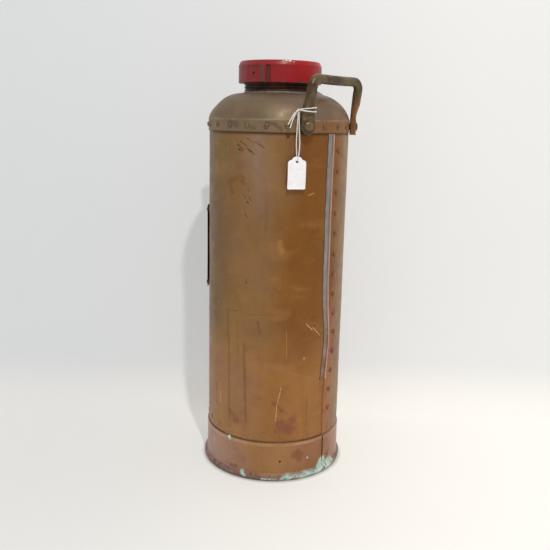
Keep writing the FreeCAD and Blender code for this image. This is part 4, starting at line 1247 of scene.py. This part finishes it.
def leg_stations(side):
    """Sections from the foot's rounded end to the start of the bar: centre, across, out, sizes."""
    azimuth = 90 - side * HANDLE_HALF
    foot_out, foot_along = radial(azimuth), tangent(azimuth) * -side
    seat = HANDLE_SEAT + 4.0
    reach, half_end = (11.0, 6.8) if side > 0 else (10.2, 5.9)
    found = []
    for t in (0, 8, 18, 30, 45, 60, 75, 90):
        z = 450.5 - 8.9 * math.cos(math.radians(t))
        half = max(0.6, 8.9 * math.sin(math.radians(t)))
        found.append((spot(seat, azimuth, z), foot_along, foot_out, half, 4.0, 5.0))
    for z in steps(451.4, 466.0, 22):
        half = 8.9 - 0.5 * smooth(452, 462, z)
        swell = smooth(456, 466, z)
        thick, power = 4.0 - 0.25 * swell, 5.0 - 2.2 * swell
        found.append((spot(seat, azimuth, z), foot_along, foot_out, half, thick, power))
    path = [(0, (*spot(seat, azimuth, 466.0), 8.4, 3.8, 0.0)),
            (0.45, (side * 51.0, 82.5, 479.0, 7.2, 4.3, 0.75)),
            (1, (side * (CORNER_X + reach), 85.4, CORNER_Z, half_end, 4.8, 1.0))]
    for t in steps(0.08, 1, 13):
        x, y, z, half, thick, straight = mixed(path, t)
        across = (foot_along * (1 - straight) + Vector((side, 0, 0)) * straight).normalized()
        out = (foot_out * (1 - straight) + Vector((0, 1, 0)) * straight).normalized()
        found.append((Vector((x, y, z)), across, out, half, thick, 2.8))
    corner = Vector((side * CORNER_X, GRIP_Y, CORNER_Z))
    for turn in steps(12, 90, 8):
        t = math.radians(turn)
        across = Vector((side * math.cos(t), 0, math.sin(t)))
        mix = turn / 90.0
        found.append((corner + across * (reach + (11.0 - reach) * mix), across, Vector((0, 1, 0)),
                      half_end + (5.6 - half_end) * mix, 4.8 + 0.8 * mix, 2.8 - 0.7 * mix))
    return found


def grip():
    """Handle in one piece: a sweep from one foot over the bar to the other."""
    right, left = leg_stations(1), leg_stations(-1)
    bar = []
    for x in steps(34, -34, 18):
        bend = 0.35 * math.cos(x / 22.0)
        bar.append((Vector((x, GRIP_Y, GRIP_Z - bend)), Vector((0, 0, 1)), Vector((0, 1, 0)), 5.6, 5.6, 2.1))
    sections = right + bar + left[::-1]
    segments = 56
    verts = []
    for centre, across, out, half, thick, power in sections:
        across = (across - out * across.dot(out)).normalized()
        for s in range(segments):
            t = 2 * math.pi * s / segments
            c, q = math.cos(t), math.sin(t)
            u = math.copysign(abs(c) ** (2 / power), c) * half
            v = math.copysign(abs(q) ** (2 / power), q) * thick
            place = centre + across * u + out * v
            if v > 0:
                place += out * foot_relief(u, place.z)
            worn = 0.16 * rough(*place, 0.12) + 0.06 * rough(*place, 0.4)
            verts.append((place + (across * u + out * v).normalized() * worn) * MM)
    handle = add_object("handle_forging", verts, tube_faces(len(sections), segments), HANDLE_BRONZE, 50)
    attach(handle, "tank")
    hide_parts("handle")


def foot_relief(u, z):
    """Sunk seat round the rivet, inside a raised rim, and the crease above the pad."""
    away = math.hypot(u, z - HANDLE_RIVET_Z)
    seat = -0.7 * smooth(7.4, 6.5, away)
    crease = -0.45 * math.exp(-((z - 462.5 + 0.03 * u * u) / 0.8) ** 2)
    return seat + crease


def handle_fixings():
    places = [(90 - s * HANDLE_HALF, HANDLE_RIVET_Z) for s in (1, -1)]
    rivet_row("handle_rivet_heads", "handle_rivets", places, HANDLE_SEAT + 7.35, 5.6, 2.9, 4.0, 85.3,
              HANDLE_RIVET, 0.03)


# ---- plate and jet on the far side ---------------------------------------------------------------
def plate():
    low, high, half, corner = 237.0, 347.0, 41.2, 3.2
    degree = SHELL_R / 57.3      # mm round the tank in one degree
    front_r, back_r = 91.45, 91.0

    def place(front, az, share):
        edge = max(0.0, abs(az) - (half - corner / degree)) * degree
        inset = corner - math.sqrt(max(0.0, corner ** 2 - edge ** 2))
        z = low + inset + (high - low - 2 * inset) * share
        from_edge = min(z - low, high - z, (half - abs(az)) * degree)
        border = 0.35 * smooth(2.4, 3.0, from_edge) * smooth(5.2, 4.6, from_edge)
        wave = 0.25 * rough(az, z, 8, 0.03)
        return point((front_r + border if front else back_r) + wave, -90 + az, z)

    sheet = thin_sheet("plate_sheet", steps(-half, half, 111), steps(0, 1, 90), place, PLATE_BRASS, 40)
    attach(sheet, "tank")
    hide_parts("instruction_plate")
    places = [(-90 + s * 37.8, z) for s in (-1, 1) for z in (243, 341)]
    rivet_row("plate_rivet_heads", "plate_rivets", places, 91.65, 2.8, 1.3, 1.5, 87.2, RIVET_COPPER,
              0.04)


def nozzle():
    """Boss soldered in the crown and the jet screwed into it."""
    axis, base = radial(-90), point(0, -90, 467.0)
    boss = [(5.0, 80.1), (8.0, 80.1), (8.0, 90.3), (11.4, 90.3), (12.0, 90.9), (12.0, 92.7), (11.5, 93.3),
            (8.6, 93.3), (8.6, 94.0), (8.1, 94.3), (8.6, 94.7), (8.6, 95.3), (8.1, 95.6), (8.6, 96.0),
            (8.4, 96.9), (5.0, 96.9), (5.0, 80.1)]
    tip = [(2.5, 88.1), (4.9, 88.1), (4.9, 97.05), (6.5, 97.05), (6.5, 98.6), (6.1, 98.9), (6.1, 99.4),
           (6.5, 99.7), (6.5, 101.8), (6.0, 102.9), (4.9, 103.7), (3.6, 103.95), (2.9, 103.6), (2.5, 103.0),
           (2.5, 88.1)]
    for name, node, outline in (("boss_turning", "jet_boss", boss), ("jet_turning", "jet", tip)):
        piece = turned_piece(name, outline, base, axis, JET_BRASS, 56, 0.0, 30)
        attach(piece, "tank")
        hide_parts(node)


# ---- tag -----------------------------------------------------------------------------------------
# Half widths and lengths of the card's head and body, and the radius of its low corners.
HEAD_HALF, HEAD_LONG, CARD_HALF, SHOULDER_LONG = 6.0, 3.8, 11.0, 4.2
CARD_LONG, CARD_CORNER = 38.5, 1.6


def rounded(share):
    """Quarter of a circle's rise, from 0 to 1."""
    return math.sqrt(1 - (1 - share) ** 2)


def card_half(z):
    """Half the card's width at a height: square body, rounded shoulders, then the narrow head."""
    up, down = z - (CARD_TOP - CARD_LONG), CARD_TOP - z
    if up < CARD_CORNER:
        return CARD_HALF - CARD_CORNER + CARD_CORNER * rounded(max(0.0, up / CARD_CORNER))
    if down < HEAD_LONG:
        return max(1.2, HEAD_HALF * rounded(max(0.0, down / HEAD_LONG)))
    if down < HEAD_LONG + SHOULDER_LONG:
        return HEAD_HALF + (CARD_HALF - HEAD_HALF) * rounded((down - HEAD_LONG) / SHOULDER_LONG)
    return CARD_HALF


def card():
    low = CARD_TOP - CARD_LONG
    heights = steps(low, low + 1.7, 8) + steps(low + 2.4, CARD_TOP - 10.6, 26)
    heights += steps(CARD_TOP - 10.4, CARD_TOP - 2.4, 20) + steps(CARD_TOP - 2.2, CARD_TOP, 12)

    def place(front, z, share):
        along, up = share * card_half(z), z - low
        curl = 0.55 * (along / CARD_HALF) ** 2 * smooth(30, 4, up) - 1.5 * smooth(34, 0, up) ** 2
        curl += 0.18 * rough(along, z, 0, 0.08)
        return near_knot(along, (0.22 if front else -0.22) + curl, z)

    leaf = thin_sheet("card_leaf", heights, steps(-1, 1, 23), place, PAPER, 45)
    bore(leaf, 1.7, KNOT_AZ, CARD_TOP - 5.9, 85, 105)
    finish_mesh(leaf, PAPER, 45)
    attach(leaf, "tag")
    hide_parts("tag_card")


def knot():
    """Overhand knot as a small closed coil of string."""
    places = []
    for turn in steps(0, 360, 27)[:-1]:
        t = math.radians(turn)
        u = 0.42 * (math.sin(t) + 2 * math.sin(2 * t))
        v = 0.42 * (math.cos(t) - 2 * math.cos(2 * t))
        places.append(near_knot(u, 0.6 * math.sin(3 * t), KNOT_Z + v))
    obj, spline = string_curve("knot_coil", places, 1.24, 4)
    spline.use_cyclic_u = True
    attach(obj, "tank")
    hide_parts("tag_knot")


# ---- kept CAD nodes ------------------------------------------------------------------------------
def dress_frame():
    """Materials of the nodes that show their own shape."""
    looks = {"foot_bead_wire": IRON, "bottom_head": INNER_COPPER, "handle_washers": HANDLE_RIVET,
             "plate_spacers": RIVET_COPPER, "strainer": JET_BRASS, "cage_ring": TIN, "cage_straps": TIN,
             "cage_hoop": TIN, "cage_base": TIN, "acid_bottle": bottle_glass(), "stopper": LEAD,
             "cap_washer": leather()}
    for name, material in looks.items():
        paint(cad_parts[name], material)


# ---- surroundings and light ------------------------------------------------------------------------
def backdrop_white():
    """Pale wall and floor, painted a little brighter to the right, with a painted contact shadow round the
    tank's foot, clear from behind.
    """
    s = Shader("backdrop", roughness=0.9)
    x, y, z = s.split(s.coords)
    # Painted light: wall and floor painted brighter to the right, the lamp's side.
    right = s.span(s.along(tangent(CAMERA_AZ)), -0.35, 0.35)
    wall = s.between(right, (187, 189, 190), (200, 200, 199))
    floor = s.between(right, (194, 193, 190), (214, 211, 205))
    color = s.mix(s.span(z, 0.08, 0.0), wall, floor)
    color = s.mix(s.span(s.noise(5.0, 2.0), 0.3, 0.7, 0.0, 0.03), color, linear((170, 172, 176)))
    s.put(s.bsdf.inputs["Emission Color"], color)
    # Painted shadow: the glow is cut off on the floor under and round the tank's foot.
    from_axis = s.add(s.mul(x, x), s.mul(y, y))
    glow_outside_painted_shadow = s.math("MAXIMUM", s.span(z, 0.01, 0.06), s.span(from_axis, 0.0085, 0.0100))
    s.put(s.bsdf.inputs["Emission Strength"], s.mul(glow_outside_painted_shadow, 0.58))
    s.finish(color)
    back = s.node("ShaderNodeNewGeometry").outputs["Backfacing"]
    clear = s.node("ShaderNodeBsdfTransparent").outputs[0]
    pick = s.node("ShaderNodeMixShader", {0: back, 1: s.bsdf.outputs[0], 2: clear})
    s.put(s.tree.nodes["Material Output"].inputs["Surface"], pick.outputs[0])
    return s.material


def surroundings():
    """White floor that sweeps up into a wall close behind the tank."""
    heading, side = radial(CAMERA_AZ), tangent(CAMERA_AZ)
    outline = [(1800, 0), (400, 0), (0, 0)]
    outline += arc_points((-118, 60), 60, -90, -180, 14) + [(-178, 600), (-178, 1600)]
    verts = []
    for ahead, z in outline:
        for s in (-1600, 1600):
            verts.append((heading * ahead + side * s + Vector((0, 0, z - 0.05))) * MM)
    faces = [(2 * i, 2 * i + 1, 2 * i + 3, 2 * i + 2) for i in range(len(outline) - 1)]
    sweep = add_object("backdrop", verts, faces, None, 60)
    with edited(sweep.data) as bm:
        if sum(f.normal.dot(heading + Vector((0, 0, 1))) * f.calc_area() for f in bm.faces) < 0:
            bmesh.ops.reverse_faces(bm, faces=bm.faces)
    paint(sweep, backdrop_white())


def lamp(name, azimuth, elevation, distance, size, power, color, aim):
    data = bpy.data.lights.new(name, "AREA")
    data.shape = "DISK"
    data.size = size
    data.energy = power
    data.color = color
    obj = linked(name, data)
    e = math.radians(elevation)
    target = Vector((0, 0, aim))
    obj.location = target + (radial(azimuth) * math.cos(e) + Vector((0, 0, math.sin(e)))) * distance
    obj.rotation_euler = (obj.location - target).to_track_quat("Z", "Y").to_euler()


def light_up():
    """Bright room with a dimmer side behind the camera, and a small lamp above it and to one side."""
    world = bpy.data.worlds.new("world")
    bpy.context.scene.world = world
    world.use_nodes = True
    n = Nodes(world.node_tree)
    sight = n.node("ShaderNodeTexCoord").outputs["Generated"]
    toward = n.vector("DOT_PRODUCT", sight, radial(CAMERA_AZ), output="Value")
    shift = n.node("ShaderNodeMapRange", {0: toward, 1: -1.0}).outputs[0]
    ramp = n.node("ShaderNodeValToRGB", {0: shift})
    back = n.tree.nodes["Background"].inputs
    n.put(back["Color"], ramp.outputs[0])
    n.put(back["Strength"], 0.70)
    stops = ramp.color_ramp.elements
    stops[0].position, stops[0].color = 0.35, (1.0, 1.0, 1.02, 1)
    stops[1].position, stops[1].color = 0.92, (0.5, 0.5, 0.5, 1)
    lamp("key", CAMERA_AZ + 13, 51, 2.0, 0.07, 18.0, (1.0, 0.985, 0.96), 0.25)
    view = bpy.context.scene.view_settings
    view.view_transform = "Standard"
    view.look = "None"
    view.exposure = 0.0
    view.gamma = 1.0


tank_skin()
foot()
crown()
seam_fill()
all_rivets()
neck()
cap()
grip()
handle_fixings()
plate()
nozzle()
card()
knot()
dress_frame()
surroundings()
light_up()
